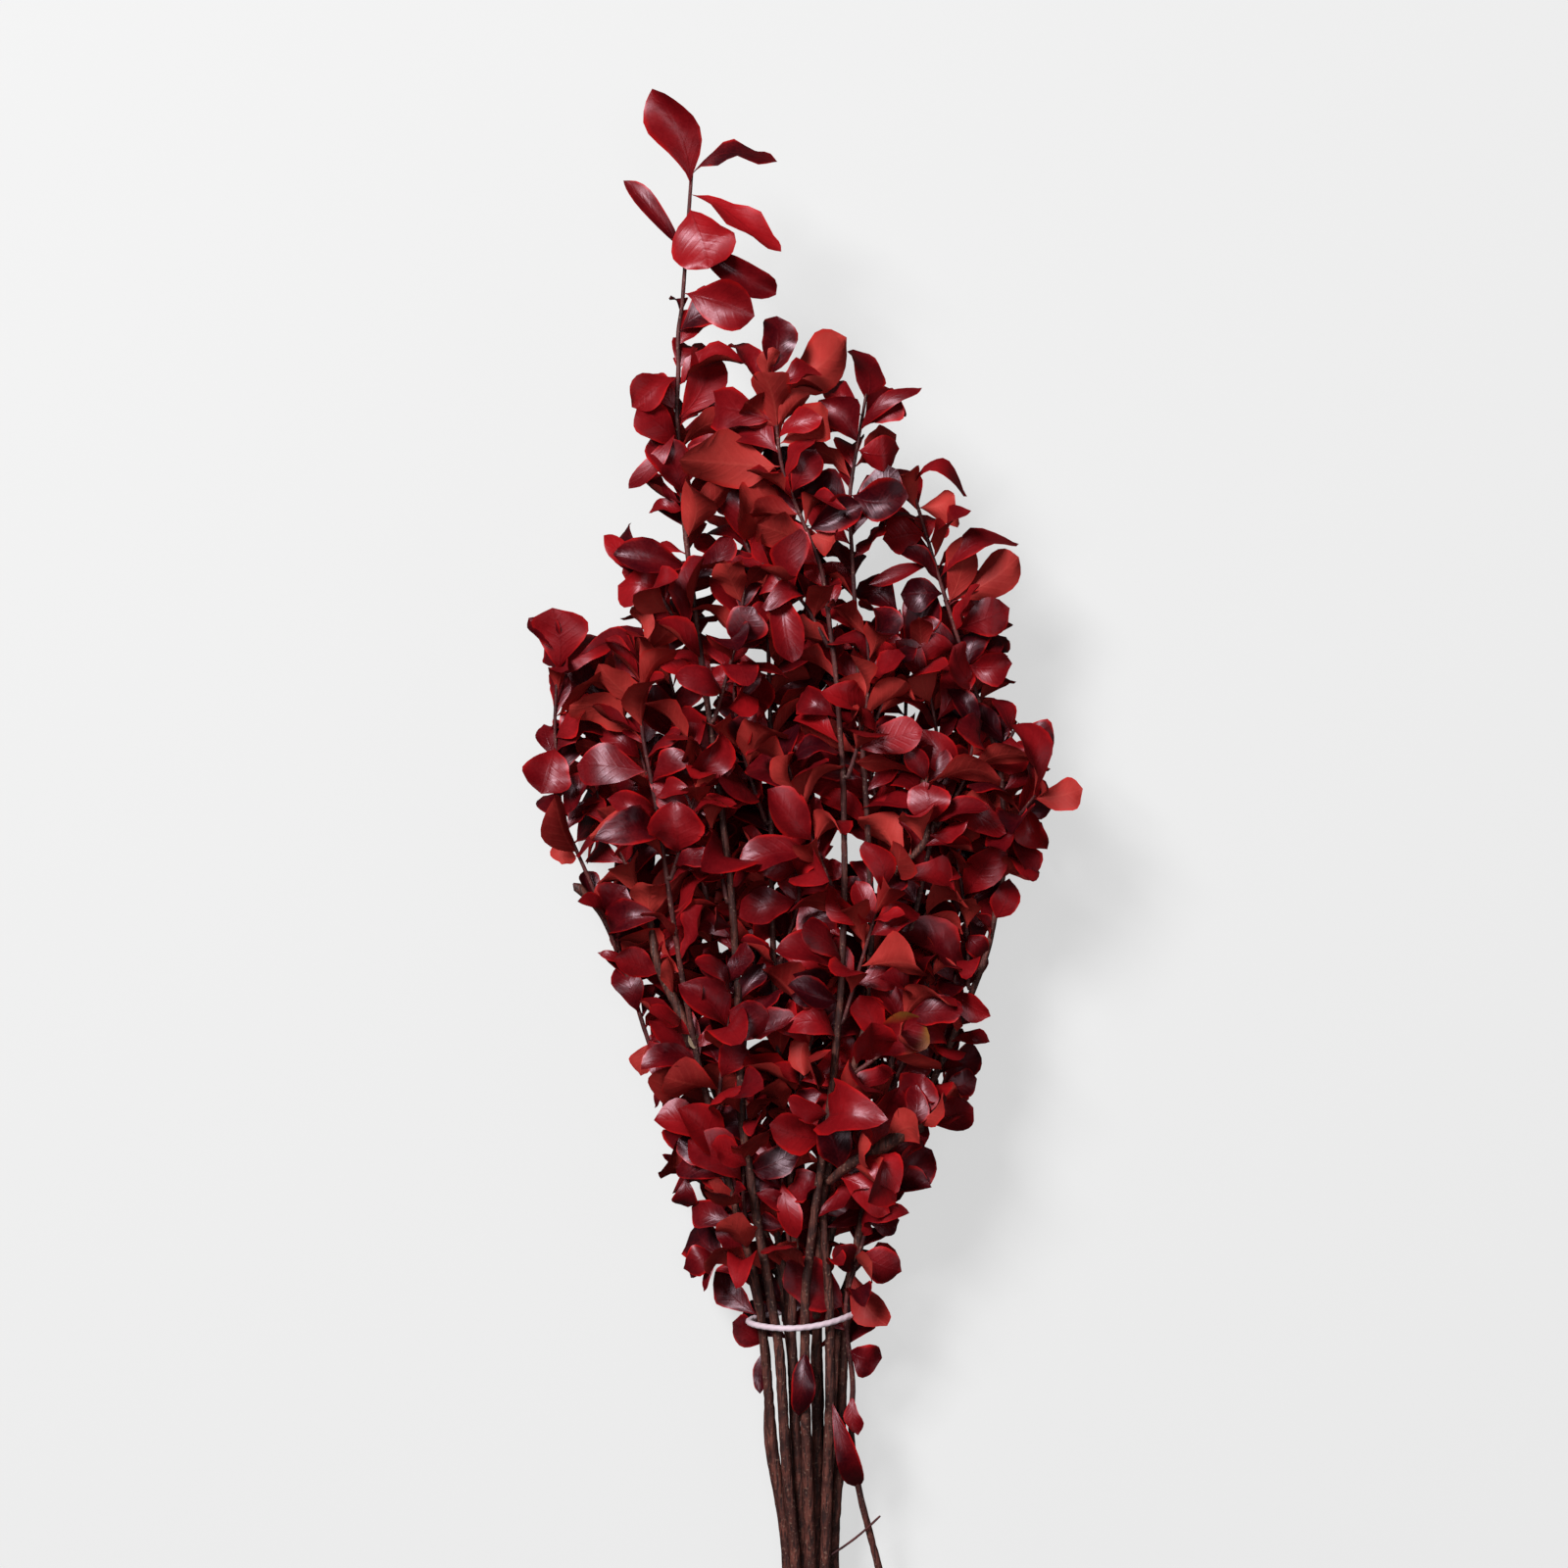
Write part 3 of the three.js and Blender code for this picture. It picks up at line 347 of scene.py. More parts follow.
def turned(vector, axis, angle):
    """The vector turned about the axis."""
    return (
        vector * math.cos(angle)
        + np.cross(axis, vector) * math.sin(angle)
        + axis * axis.dot(vector) * (1 - math.cos(angle))
    )


def sprout(seat, along, turn, size):
    """A leaf that leaves the wood at its seat, turned about it by the given angle."""
    side = np.cross(along, (0, 0, 1))
    outward = turned(side / np.linalg.norm(side), along, turn)
    opening = math.radians(random.uniform(*OPENING))
    direction = (along * math.cos(opening) + outward * math.sin(opening)) * PRESSED
    direction /= np.linalg.norm(direction)
    length = size * random.uniform(*LEAF_LENGTHS) * MM
    face = turned(along + np.array((0, 0, SKY_PULL)), direction, random.uniform(-FACE_TILT, FACE_TILT))
    face -= direction * face.dot(direction)
    return {
        "seat": seat,
        "tip": seat + direction * length,
        "face": face / np.linalg.norm(face),
        "width": length * random.uniform(*LEAF_WIDTHS),
        "arch": random.uniform(*ARCHES) * MM,
    }


def leaf_out(name, shoot):
    """Adds the leaves that a shoot has room for, and says how many."""
    line = shoot["line"]
    steps = np.linalg.norm(np.diff(line, axis=0), axis=1)
    reach = np.concatenate([[0], np.cumsum(steps)])
    kind = "stem" if name.endswith("_stem") else "twig"
    first, last = LEAFY[kind]
    bare = BARE * reach[-1] if kind == "stem" else 0
    grown = 0
    for k, distance in enumerate(np.arange(first * reach[-1], last * reach[-1], LEAF_STEP)):
        seat = np.array([np.interp(distance, reach, line[:, axis]) for axis in range(3)])
        if not LEAFY_ROWS[0] < seat[1] < LEAFY_ROWS[1]:
            continue
        i = min(np.searchsorted(reach, distance), len(line) - 1)
        along = (line[i] - line[i - 1]) / max(np.linalg.norm(line[i] - line[i - 1]), 1e-9)
        for attempt in range(TRIES):
            turn = k * GOLDEN_TURN + random.normal(0, TURN_SPREAD + MORE_SPREAD * attempt)
            leaf = sprout(seat, along, turn, 1 - SHRINKING * attempt)
            points = blade_points(leaf)
            pressed = distance > bare or max(point[2] for point in points) < UNDERSIDE
            if not pressed or not all(map(inside_outline, (*points, leaf["tip"]))):
                continue
            if not any(map(in_window, points)) and not hides_stem(points) and has_room(points):
                fill(points)
                shoot["leaves"].append(leaf)
                grown += 1
                break
    return grown


added = sum(leaf_out(name, shoot) for name, shoot in plant.items() if name != "bare_twig")
print("grew", added, "more leaves, so the bunch now has", sum(len(s["leaves"]) for s in plant.values()))

# %% [markdown]
# ## One leaf, made once
#
# A leaf is a thin closed skin: a face, a back, and one margin that they share. Modelling a thousand
# leaves by hand would take days, so one flat pattern leaf is made here, with only 44 faces on each
# side. It has no shape of its own yet. Each corner only knows how far across the leaf it is,
# how far along it, and on which side, and the next step bends it from those three numbers.

# %% The pattern leaf
# Rows and columns of corners, as shares of the length and of the half width.
ALONG = [0.07, 0.16, 0.27, 0.39, 0.51, 0.63, 0.75, 0.85, 0.93, 0.98]
ACROSS = [-1, -0.5, 0, 0.5, 1]


def pattern_leaf():
    """A flat closed leaf. Only its margin is sharp."""
    mesh = bmesh.new()
    across = mesh.verts.layers.float.new("across")
    along = mesh.verts.layers.float.new("along")
    side = mesh.verts.layers.float.new("side")
    on_face = mesh.faces.layers.bool.new("on_face")

    def corner(u, v, s):
        vert = mesh.verts.new((u, v, s * 0.05))
        vert[across], vert[along], vert[side] = u, v, s
        return vert

    stalk, tip = corner(0, 0, 0), corner(0, 1, 0)
    margin = {(u, v): corner(u, v, 0) for v in ALONG for u in (-1, 1)}
    for s in (1, -1):
        rows = [[margin[u, v] if abs(u) == 1 else corner(u, v, s) for u in ACROSS] for v in ALONG]
        quads = [
            (low[i], low[i + 1], high[i + 1], high[i])
            for low, high in zip(rows, rows[1:])
            for i in range(len(ACROSS) - 1)
        ]
        fans = [(stalk, rows[0][i + 1], rows[0][i]) for i in range(len(ACROSS) - 1)]
        fans += [(rows[-1][i], rows[-1][i + 1], tip) for i in range(len(ACROSS) - 1)]
        for verts in quads + fans:
            # Both sides start at the same corner, so both are later cut along the same diagonal.
            face = mesh.faces.new(verts if s > 0 else verts[:1] + verts[:0:-1])
            face[on_face] = s > 0
            face.smooth = True
    for edge in mesh.edges:
        if edge.verts[0][side] == 0 and edge.verts[1][side] == 0:
            edge.smooth = False
    data = bpy.data.meshes.new("pattern_leaf")
    mesh.to_mesh(data)
    mesh.free()
    return bpy.data.objects.new("pattern_leaf", data)


leaf_pattern = pattern_leaf()
print("the pattern leaf has", len(leaf_pattern.data.polygons), "faces")

# %% [markdown]
# ## Writing sums as nodes
#
# A leaf's shape and a leaf's colour are both sums over its surface, and in Blender a sum is a chain
# of Math nodes. Placing dozens of them one by one hides the idea, so the small helper below lets a
# line such as `width * outline / 2` build the chain itself. It serves geometry and materials alike.

# %% The helper
class Field:
    """A number that changes over a surface. Sums and products of fields become Math nodes."""

    def __init__(self, tree, socket):
        self.tree, self.socket = tree, socket

    def math(self, operation, *others):
        node = self.tree.nodes.new("ShaderNodeMath")
        node.operation = operation
        plug(self.tree, node.inputs, (self, *others))
        return Field(self.tree, node.outputs[0])

    def __add__(self, other):
        return self.math("ADD", other)

    def __sub__(self, other):
        return self.math("SUBTRACT", other)

    def __mul__(self, other):
        return self.math("MULTIPLY", other)

    def __truediv__(self, other):
        return self.math("DIVIDE", other)

    def __pow__(self, other):
        return self.math("POWER", other)

    def __neg__(self):
        return self * -1

    def __abs__(self):
        return self.math("ABSOLUTE")

    def __rsub__(self, other):
        return -self + other

    __radd__, __rmul__ = __add__, __mul__

    def sine(self):
        return self.math("SINE")

    def ramp(self, start, end):
        """0 up to start, 1 from end on, and a smooth rise between them."""
        node = self.tree.nodes.new("ShaderNodeMapRange")
        node.interpolation_type = "SMOOTHSTEP"
        plug(self.tree, node.inputs, (self, start, end))
        return Field(self.tree, node.outputs[0])


def plug(tree, slots, values):
    """Puts numbers, colours and fields into a node's sockets, one after another."""
    for slot, value in zip(slots, values):
        if isinstance(value, Field):
            tree.links.new(value.socket, slot)
        else:
            slot.default_value = value


def node_in(tree, kind, setting=None, **values):
    """Adds a node of a kind, with its setting if it has one, and with its sockets filled by name."""
    node = tree.nodes.new(kind)
    if setting:
        setattr(node, *setting)
    slots = [node.inputs[name.replace("_", " ")] for name in values]
    plug(tree, slots, values.values())
    return node


def along(direction, distance):
    """The direction made as long as the distance."""
    scale = ("operation", "SCALE")
    node = node_in(direction.tree, "ShaderNodeVectorMath", scale, Vector=direction, Scale=distance)
    return Field(direction.tree, node.outputs[0])


def travel(start, *legs):
    """The point reached from start by going each distance in its direction."""
    here = start
    for direction, distance in legs:
        total = start.tree.nodes.new("ShaderNodeVectorMath")
        plug(start.tree, total.inputs, (here, along(direction, distance)))
        here = Field(start.tree, total.outputs[0])
    return here


print("sums can now be written as nodes")

# %% [markdown]
# ## How a twig grows
#
# One Geometry Nodes tree makes a whole shoot. It gets the middle line of the wood as edges and the
# seats of the leaves as loose points, each with its own numbers. Its first half sweeps a ring along
# the line to make round, slightly knobbly wood. Its second half puts the pattern leaf on every seat
# and bends it: an egg-shaped outline with its widest part past the middle, a wavy margin, a fold
# along the midrib, a cup across it, an arch and a curl along it, and a slow twist.

# %% The tree for a shoot
def attribute(tree, name, kind="FLOAT"):
    """What each point of a shape knows under this name."""
    node = node_in(tree, "GeometryNodeInputNamedAttribute", ("data_type", kind), Name=name)
    return Field(tree, node.outputs["Attribute"])


def output(node, name="Geometry"):
    """An output of a node, as a field."""
    return Field(node.id_data, node.outputs[name])


def new_tree(name, inputs):
    """An empty tree from geometry to geometry: the tree, its inputs as fields, and its end."""
    tree = bpy.data.node_groups.new(name, "GeometryNodeTree")
    tree.is_modifier = True
    for in_out in ("INPUT", "OUTPUT"):
        tree.interface.new_socket("Geometry", in_out=in_out, socket_type="NodeSocketGeometry")
    for label, kind in inputs.items():
        tree.interface.new_socket(label, in_out="INPUT", socket_type="NodeSocket" + kind)
    start = tree.nodes.new("NodeGroupInput")
    fields = {socket.name: Field(tree, socket) for socket in start.outputs if socket.name}
    return tree, fields, tree.nodes.new("NodeGroupOutput")


def painted(tree, shape, material, selection=True):
    """The shape with a material on its selected faces."""
    choice = {"Material": material, "Selection": selection}
    return output(node_in(tree, "GeometryNodeSetMaterial", Geometry=shape, **choice))


def finish_tree(tree, end, shapes):
    """Joins the shapes as real mesh and leads them out of the tree."""
    whole = tree.nodes.new("GeometryNodeJoinGeometry")
    for shape in shapes:
        tree.links.new(shape.socket, whole.inputs[0])
    real = node_in(tree, "GeometryNodeRealizeInstances", Geometry=output(whole))
    tree.links.new(real.outputs[0], end.inputs[0])
    print(tree.name, "takes", len(tree.nodes), "nodes")


WOOD_INPUTS = {
    "Ring sides": "Int",
    "Ring step": "Float",
    "Knobs": "Float",
    "Plies": "Float",
    "Bark": "Material",
    "Cut wood": "Material",
}
LEAF_INPUTS = {
    "Pattern leaf": "Object",
    "Stalk share": "Float",
    "Thickness": "Float",
    "Leaf face": "Material",
    "Leaf back": "Material",
}
shoot_tree, given, shoot_end = new_tree("pittosporum shoot", WOOD_INPUTS | LEAF_INPUTS)
print("a shoot has", len(given) - 1, "inputs besides its lines and points")

# %% The table
def kept_off_table(tree, point, lowest):
    """A point that the table stops at its lowest height."""
    apart = node_in(tree, "ShaderNodeSeparateXYZ", Vector=point)
    height = output(apart, "Z").math("MAXIMUM", lowest)
    joined = node_in(tree, "ShaderNodeCombineXYZ", X=output(apart, "X"), Y=output(apart, "Y"), Z=height)
    return output(joined, "Vector")


print("no corner will go below the table")

# %% Its wood
PLY_TURN = 4.4 * MM  # length over which the strands of a twisted cord turn once
KNOB_SCALE = 240.0  # knobs per metre
WOOD_LOWEST = 0.05 * MM  # above the table
END_SKIN = 0.02 * MM  # a face that starts nearer than this to the cut end is cut wood


def swept(tree, given, line):
    """A ring swept along a line, with the knobs of wood or the strands of a cord."""
    smooth = node_in(tree, "GeometryNodeCurveSplineType", ("spline_type", "CATMULL_ROM"), Curve=line)
    rings = node_in(
        tree,
        "GeometryNodeResampleCurve",
        ("mode", "LENGTH"),
        Curve=output(smooth, "Curve"),
        Length=given["Ring step"],
    )
    parameter = tree.nodes.new("GeometryNodeSplineParameter")
    reach = node_in(
        tree,
        "GeometryNodeStoreNamedAttribute",
        Geometry=output(rings, "Curve"),
        Name="reach",
        Value=output(parameter, "Length"),
    )
    ring = node_in(tree, "GeometryNodeCurvePrimitiveCircle", Resolution=given["Ring sides"], Radius=1.0)
    angle = node_in(
        tree,
        "GeometryNodeStoreNamedAttribute",
        Geometry=output(ring, "Curve"),
        Name="around",
        Value=output(parameter, "Factor"),
    )
    tube = node_in(
        tree,
        "GeometryNodeCurveToMesh",
        Curve=output(reach),
        Profile_Curve=output(angle),
        Scale=attribute(tree, "girth"),
        Fill_Caps=True,
    )
    place, outward = (tree.nodes.new("GeometryNodeInput" + kind) for kind in ("Position", "Normal"))
    here = output(place, "Position")
    knobs = node_in(tree, "ShaderNodeTexNoise", Vector=here, Scale=KNOB_SCALE, Detail=2.0)
    strands = (attribute(tree, "around") * 2 + attribute(tree, "reach") / PLY_TURN) * math.tau
    lumps = Field(tree, knobs.outputs[0])
    bulge = (lumps - 0.5) * given["Knobs"] + strands.sine() * given["Plies"]
    moved = travel(here, (output(outward, "Normal"), bulge * attribute(tree, "girth")))
    shaped = node_in(
        tree,
        "GeometryNodeSetPosition",
        Geometry=output(tube, "Mesh"),
        Position=kept_off_table(tree, moved, WOOD_LOWEST),
    )
    skin = attribute(tree, "reach").math("GREATER_THAN", END_SKIN)
    soft = node_in(tree, "GeometryNodeSetShadeSmooth", Geometry=output(shaped), Shade_Smooth=skin)
    barked = painted(tree, output(soft), given["Bark"])
    return painted(tree, barked, given["Cut wood"], 1 - skin)


divided = node_in(
    shoot_tree,
    "GeometryNodeSeparateGeometry",
    Geometry=given["Geometry"],
    Selection=attribute(shoot_tree, "is_seat", "BOOLEAN"),
)
edges = node_in(shoot_tree, "GeometryNodeMeshToCurve", Mesh=output(divided, "Inverted"))
wood = swept(shoot_tree, given, output(edges, "Curve"))
print("the wood takes", len(shoot_tree.nodes), "nodes")

# %% Its leaves
TIP_HAIR = 1.1 * MM  # the fine point at the end of each midrib
STALK_HALF = 0.42 * MM  # half width of a stalk
RIB_SWELL = 0.5 * MM  # how much thicker a leaf is along its rib, near its foot
FLAT_UNTIL = 0.35  # share of the length at which the twist begins to turn the blade
LEAF_LOWEST = 0.3 * MM  # above the table

LEAF_NUMBERS = (
    "length width arch wedge bluntness fullness waves phase lobes ripple"
    " fold cup curl twist sway"
).split()


def bent_leaf(tree, given):
    """Where each corner of the pattern leaf goes."""
    number = {name: attribute(tree, name) for name in LEAF_NUMBERS}
    seat, forward, sideways, face = (
        attribute(tree, name, "FLOAT_VECTOR") for name in ("seat", "forward", "sideways", "face")
    )
    u, v, side = (attribute(tree, name) for name in ("across", "along", "side"))
    out = abs(u)
    blade = ((v - given["Stalk share"]) / (1 - given["Stalk share"])).math("MAXIMUM", 0.0)
    past = (1 - blade).math("MAXIMUM", 0.0)
    outline = blade ** number["wedge"] * past ** number["bluntness"] * number["fullness"]
    beat = v * number["waves"] * math.tau + number["phase"] + u * 1.1
    stalk = (1.05 - v) * STALK_HALF
    lobes = (beat.sine() + (beat * 0.6 + number["waves"] * 9).sine() * 0.5) * number["lobes"]
    half = number["width"] / 2 * outline * (lobes + 1) + stalk
    end = (v - 0.5).math("MAXIMUM", 0.0) ** 2.0 * 4
    rise = v * (1 - v) * 4 * number["arch"] - end * number["curl"] * number["length"]
    reach = (v - end * abs(number["curl"]) * 0.22) * number["length"] + v.ramp(0.98, 1.0) * TIP_HAIR
    ripple = (beat * 1.15 + u * 0.9).sine() * out * out * outline * number["ripple"] * number["width"]
    lift = (out * number["fold"] + u * u * number["cup"]) * half + ripple
    turn = (v - FLAT_UNTIL) * number["twist"]
    bend = v * (1 - v) * 4 * number["sway"] * number["length"]
    x = u * half * turn.math("COSINE") - lift * turn.sine() + bend
    z = rise + u * half * turn.sine() + lift * turn.math("COSINE")
    thick = given["Thickness"] * (1.5 - v) + (1 - out.ramp(0.0, 0.6)) * (1 - v) * RIB_SWELL
    return travel(seat, (forward, reach), (sideways, x), (face, z + side * thick / 2))


pattern = node_in(shoot_tree, "GeometryNodeObjectInfo", Object=given["Pattern leaf"])
on_seats = node_in(
    shoot_tree,
    "GeometryNodeInstanceOnPoints",
    Points=output(divided, "Selection"),
    Instance=output(pattern),
)
copies = node_in(shoot_tree, "GeometryNodeRealizeInstances", Geometry=output(on_seats, "Instances"))
# The face of a leaf stays above its margin, and the margin above its back.
lowest = (attribute(shoot_tree, "side") + 1.3) * LEAF_LOWEST
corners = kept_off_table(shoot_tree, bent_leaf(shoot_tree, given), lowest)
leaves = node_in(shoot_tree, "GeometryNodeSetPosition", Geometry=output(copies), Position=corners)
backs = painted(shoot_tree, output(leaves), given["Leaf back"])
foliage = painted(shoot_tree, backs, given["Leaf face"], attribute(shoot_tree, "on_face", "BOOLEAN"))
finish_tree(shoot_tree, shoot_end, [foliage, wood])

# %% [markdown]
# ## Colour from dye and age, with painted glow and painted shade
#
# The leaves were dyed while they dried, so the red is not even. The glossy upper skin took a deep
# crimson that clouds into maroon, and the matte underside stayed a brick pink. The thin margins are
# pushed to the purest red, partly dye and partly a painted glow of light through the thin edge, and
# leaves low in the bunch carry painted shade in their tone. The dye, the painted glow, the midrib
# and the side veins are one shared group of shader nodes, since both sides of a leaf need them. It
# reads the leaf's own numbers, so it follows every bend.

# %% Shader groups
def new_group(name, inputs, outputs):
    """An empty shader group: the group, its inputs as fields, and its end."""
    tree = bpy.data.node_groups.new(name, "ShaderNodeTree")
    for in_out, sockets in (("INPUT", inputs), ("OUTPUT", outputs)):
        for label, kind in sockets.items():
            tree.interface.new_socket(label, in_out=in_out, socket_type="NodeSocket" + kind)
    start = tree.nodes.new("NodeGroupInput")
    fields = {socket.name: Field(tree, socket) for socket in start.outputs if socket.name}
    return tree, fields, tree.nodes.new("NodeGroupOutput")


def reading(tree, name):
    """What a material can read of a number that each leaf or ring carries."""
    node = tree.nodes.new("ShaderNodeAttribute")
    node.attribute_name = name
    return output(node, "Fac")


def grain(tree, scale, detail=3.0, stretch=(1, 1, 1)):
    """Cloudy noise that is fixed to the piece. Scale is in clouds per metre."""
    place = output(tree.nodes.new("ShaderNodeTexCoord"), "Object")
    spread = node_in(tree, "ShaderNodeMapping", Vector=place, Scale=stretch)
    node = node_in(
        tree, "ShaderNodeTexNoise", Vector=output(spread, "Vector"), Scale=scale, Detail=detail
    )
    return Field(tree, node.outputs[0])


def mixed(tree, share, first, second):
    """The first colour where share is 0 and the second where it is 1."""
    node = tree.nodes.new("ShaderNodeMix")
    node.data_type = "RGBA"
    plug(tree, (node.inputs[0], node.inputs[6], node.inputs[7]), (share, first, second))
    return Field(tree, node.outputs[2])


print("colours can now be mixed over a surface")

# %% Dye
OLIVE = (0.2, 0.085, 0.014, 1)
CLOUDS, FLECKS = 60.0, 900.0  # per metre
VEINS = 46  # radians of the vein pattern over a leaf's length


def leaf_dye_and_painted_light():
    """The group for the colour of either side of a leaf: dye, painted margin glow, and the painted
    shade that the tone carries.
    """
    tree, given, end = new_group(
        "leaf dye and painted light",
        {"Deep": "Color", "Bright": "Color", "Margin": "Color", "Rib": "Color", "Rib share": "Float"},
        {"Color": "Color", "Roughness": "Float", "Height": "Float"},
    )
    u, v, dye_tone_and_painted_shade, olive = (reading(tree, name) for name in ("across", "along", "dye_tone_and_painted_shade", "olive"))
    out = abs(u)
    clouds, flecks = grain(tree, CLOUDS), grain(tree, FLECKS, 2.0)
    # The share between deep and bright is the leaf's tone, which holds painted shade on low leaves,
    # plus random clouds.
    shade = dye_tone_and_painted_shade + (clouds - 0.5) * 0.9 + (flecks - 0.5) * 0.25
    body = mixed(tree, shade, given["Deep"], given["Bright"])
    rib = (1 - out.ramp(0.02, 0.1)) * (1 - v * 0.7)
    veins = ((v * VEINS - out * 13) + clouds * 2).sine().ramp(0.35, 1.0) * (1 - out.ramp(0.55, 0.95))
    ribbed = mixed(tree, (rib + veins * 0.2) * given["Rib share"], body, given["Rib"])
    # Painted glow: the margins are mixed towards pure red, partly the dye and partly light shining
    # through the thin edge.
    edge = (out + (clouds - 0.5) * 0.3).ramp(0.78, 1.05) * clouds.ramp(0.3, 0.6) * 0.7
    red = mixed(tree, edge, ribbed, given["Margin"])
    patch = olive * (v * 0.7 + out * 0.5 + (clouds - 0.5) * 0.6).ramp(0.75, 1.1) * 0.85
    colour = mixed(tree, patch, red, OLIVE)
    roughness = (clouds - 0.5) * 0.3 + (flecks - 0.5) * 0.2
    height = rib * 0.35 + veins * 0.12 + flecks * 0.1 + clouds * 1.0
    plug(tree, end.inputs, (colour, roughness, height))
    return tree


dye_and_painted_light = leaf_dye_and_painted_light()
print("the dye takes", len(dye_and_painted_light.nodes), "nodes")


# %% The two sides of a leaf
LEAF_RELIEF = 0.5 * MM  # depth of the ribs and veins pressed into a leaf


def material(name, **settings):
    """A new material, its node tree, and its shader with the given fixed values."""
    made = bpy.data.materials.new(name)
    made.use_nodes = True
    shader = made.node_tree.nodes["Principled BSDF"]
    for socket, value in settings.items():
        shader.inputs[socket.replace("_", " ")].default_value = value
    return made, made.node_tree, shader


def bumped(tree, shader, height, depth):
    """Presses a height into a shader's surface."""
    bump = node_in(tree, "ShaderNodeBump", Height=height, Distance=depth, Strength=0.6)
    tree.links.new(bump.outputs[0], shader.inputs["Normal"])


def leaf_skin(name, roughness, colours, rib_share, **settings):
    """The material of one side of a leaf."""
    made, tree, shader = material(name, **settings)
    group = tree.nodes.new("ShaderNodeGroup")
    group.node_tree = dye_and_painted_light
    for label, colour in colours.items():
        group.inputs[label].default_value = (*colour, 1)
    group.inputs["Rib share"].default_value = rib_share
    dry = output(group, "Roughness") + roughness
    plug(tree, (shader.inputs["Base Color"], shader.inputs["Roughness"]), (output(group, "Color"), dry))
    bumped(tree, shader, output(group, "Height"), LEAF_RELIEF)
    return made


leaf_face = leaf_skin(
    "glossy leaf face",
    0.38,
    {
        "Deep": (0.028, 0.0006, 0.0025),
        "Bright": (0.34, 0.006, 0.009),
        "Margin": (0.55, 0.006, 0.006),
        "Rib": (0.12, 0.004, 0.006),
    },
    0.35,
    Specular_IOR_Level=0.42,
    Coat_Weight=0.04,
    Coat_Roughness=0.3,
    Specular_Tint=(1.0, 0.72, 0.84, 1),
)
leaf_back = leaf_skin(
    "matte leaf back",
    0.66,
    {
        "Deep": (0.22, 0.007, 0.007),
        "Bright": (0.52, 0.042, 0.034),
        "Margin": (0.55, 0.012, 0.01),
        "Rib": (0.5, 0.06, 0.045),
    },
    0.4,
    Specular_IOR_Level=0.25,
)
print("made", leaf_face.name, "and", leaf_back.name)

# %% [markdown]
# ## Wood and elastic
#
# Pittosporum bark is thin, brown with a mauve bloom, and darker and redder on the young twigs. Pale
# breathing pores speckle it. The cut ends show drier, lighter wood. The loop round the stems is a
# plain elastic of pale lilac, wound tight enough to hold but not to bite.

# %% Bark, cut wood and elastic
ALONG_STEMS = (1, 0.09, 1)  # draws the grain of the bark out along the bunch
YOUNG_GIRTH, OLD_GIRTH = 0.8 * MM, 1.9 * MM  # radii between which young bark turns old


def bark_material():
    """Smooth red bark on thin wood and grooved brown bark on thick wood."""
    made, tree, shader = material("bark", Coat_Weight=0.0, Specular_IOR_Level=0.35)
    old = reading(tree, "girth").ramp(YOUNG_GIRTH, OLD_GIRTH)
    clouds, pores = grain(tree, 90.0), grain(tree, 750.0, 1.0)
    grooves = grain(tree, 900.0, 3.0, stretch=ALONG_STEMS)
    young = mixed(tree, clouds.ramp(0.3, 0.7), (0.035, 0.006, 0.008, 1), (0.12, 0.024, 0.024, 1))
    grown = mixed(tree, clouds.ramp(0.3, 0.7), (0.045, 0.011, 0.009, 1), (0.16, 0.048, 0.035, 1))
    grooved = mixed(tree, grooves.ramp(0.35, 0.6), (0.03, 0.011, 0.01, 1), grown)
    skin = mixed(tree, old, young, grooved)
    specked = mixed(tree, pores.ramp(0.62, 0.72) * 0.5, skin, (0.28, 0.16, 0.12, 1))
    surface = shader.inputs["Base Color"], shader.inputs["Roughness"]
    plug(tree, surface, (specked, 0.75 - clouds * 0.3))
    bumped(tree, shader, pores * 0.4 + grooves, 0.8 * MM)
    return made


def cut_material():
    """The pale fibres of a cut end."""
    made, tree, shader = material("cut wood", Specular_IOR_Level=0.3)
    fibres, clouds = grain(tree, 2600.0, 2.0), grain(tree, 350.0)
    shade = mixed(tree, fibres * 0.6 + clouds * 0.4, (0.3, 0.19, 0.12, 1), (0.62, 0.48, 0.34, 1))
    plug(tree, (shader.inputs["Base Color"], shader.inputs["Roughness"]), (shade, fibres * 0.2 + 0.7))
    bumped(tree, shader, fibres, 0.3 * MM)
    return made


def elastic_material():
    """Pale dusty elastic."""
    made, tree, shader = material("pale elastic", Specular_IOR_Level=0.4, Sheen_Weight=0.2)
    clouds, dust = grain(tree, 120.0), grain(tree, 2500.0, 2.0)
    shade = mixed(tree, clouds * 0.7 + dust * 0.3, (0.6, 0.45, 0.52, 1), (0.82, 0.66, 0.73, 1))
    plug(tree, (shader.inputs["Base Color"], shader.inputs["Roughness"]), (shade, dust * 0.2 + 0.42))
    bumped(tree, shader, dust, 0.12 * MM)
    return made


bark, cut_wood, elastic = bark_material(), cut_material(), elastic_material()
print("made", bark.name, "+", cut_wood.name, "+", elastic.name)

# %% [markdown]
# ## Growing the whole bunch
#
# Each shoot of the frame now becomes one finished piece: stem or twig with its own leaves. A twig
# that only touched its stem would look glued on, so each one is first led back towards the middle
# of its stem and thickened there, the way a real fork swells. Every leaf draws its own numbers from a
# fixed seed, so no two are alike and yet the bunch is the same each time it is grown.

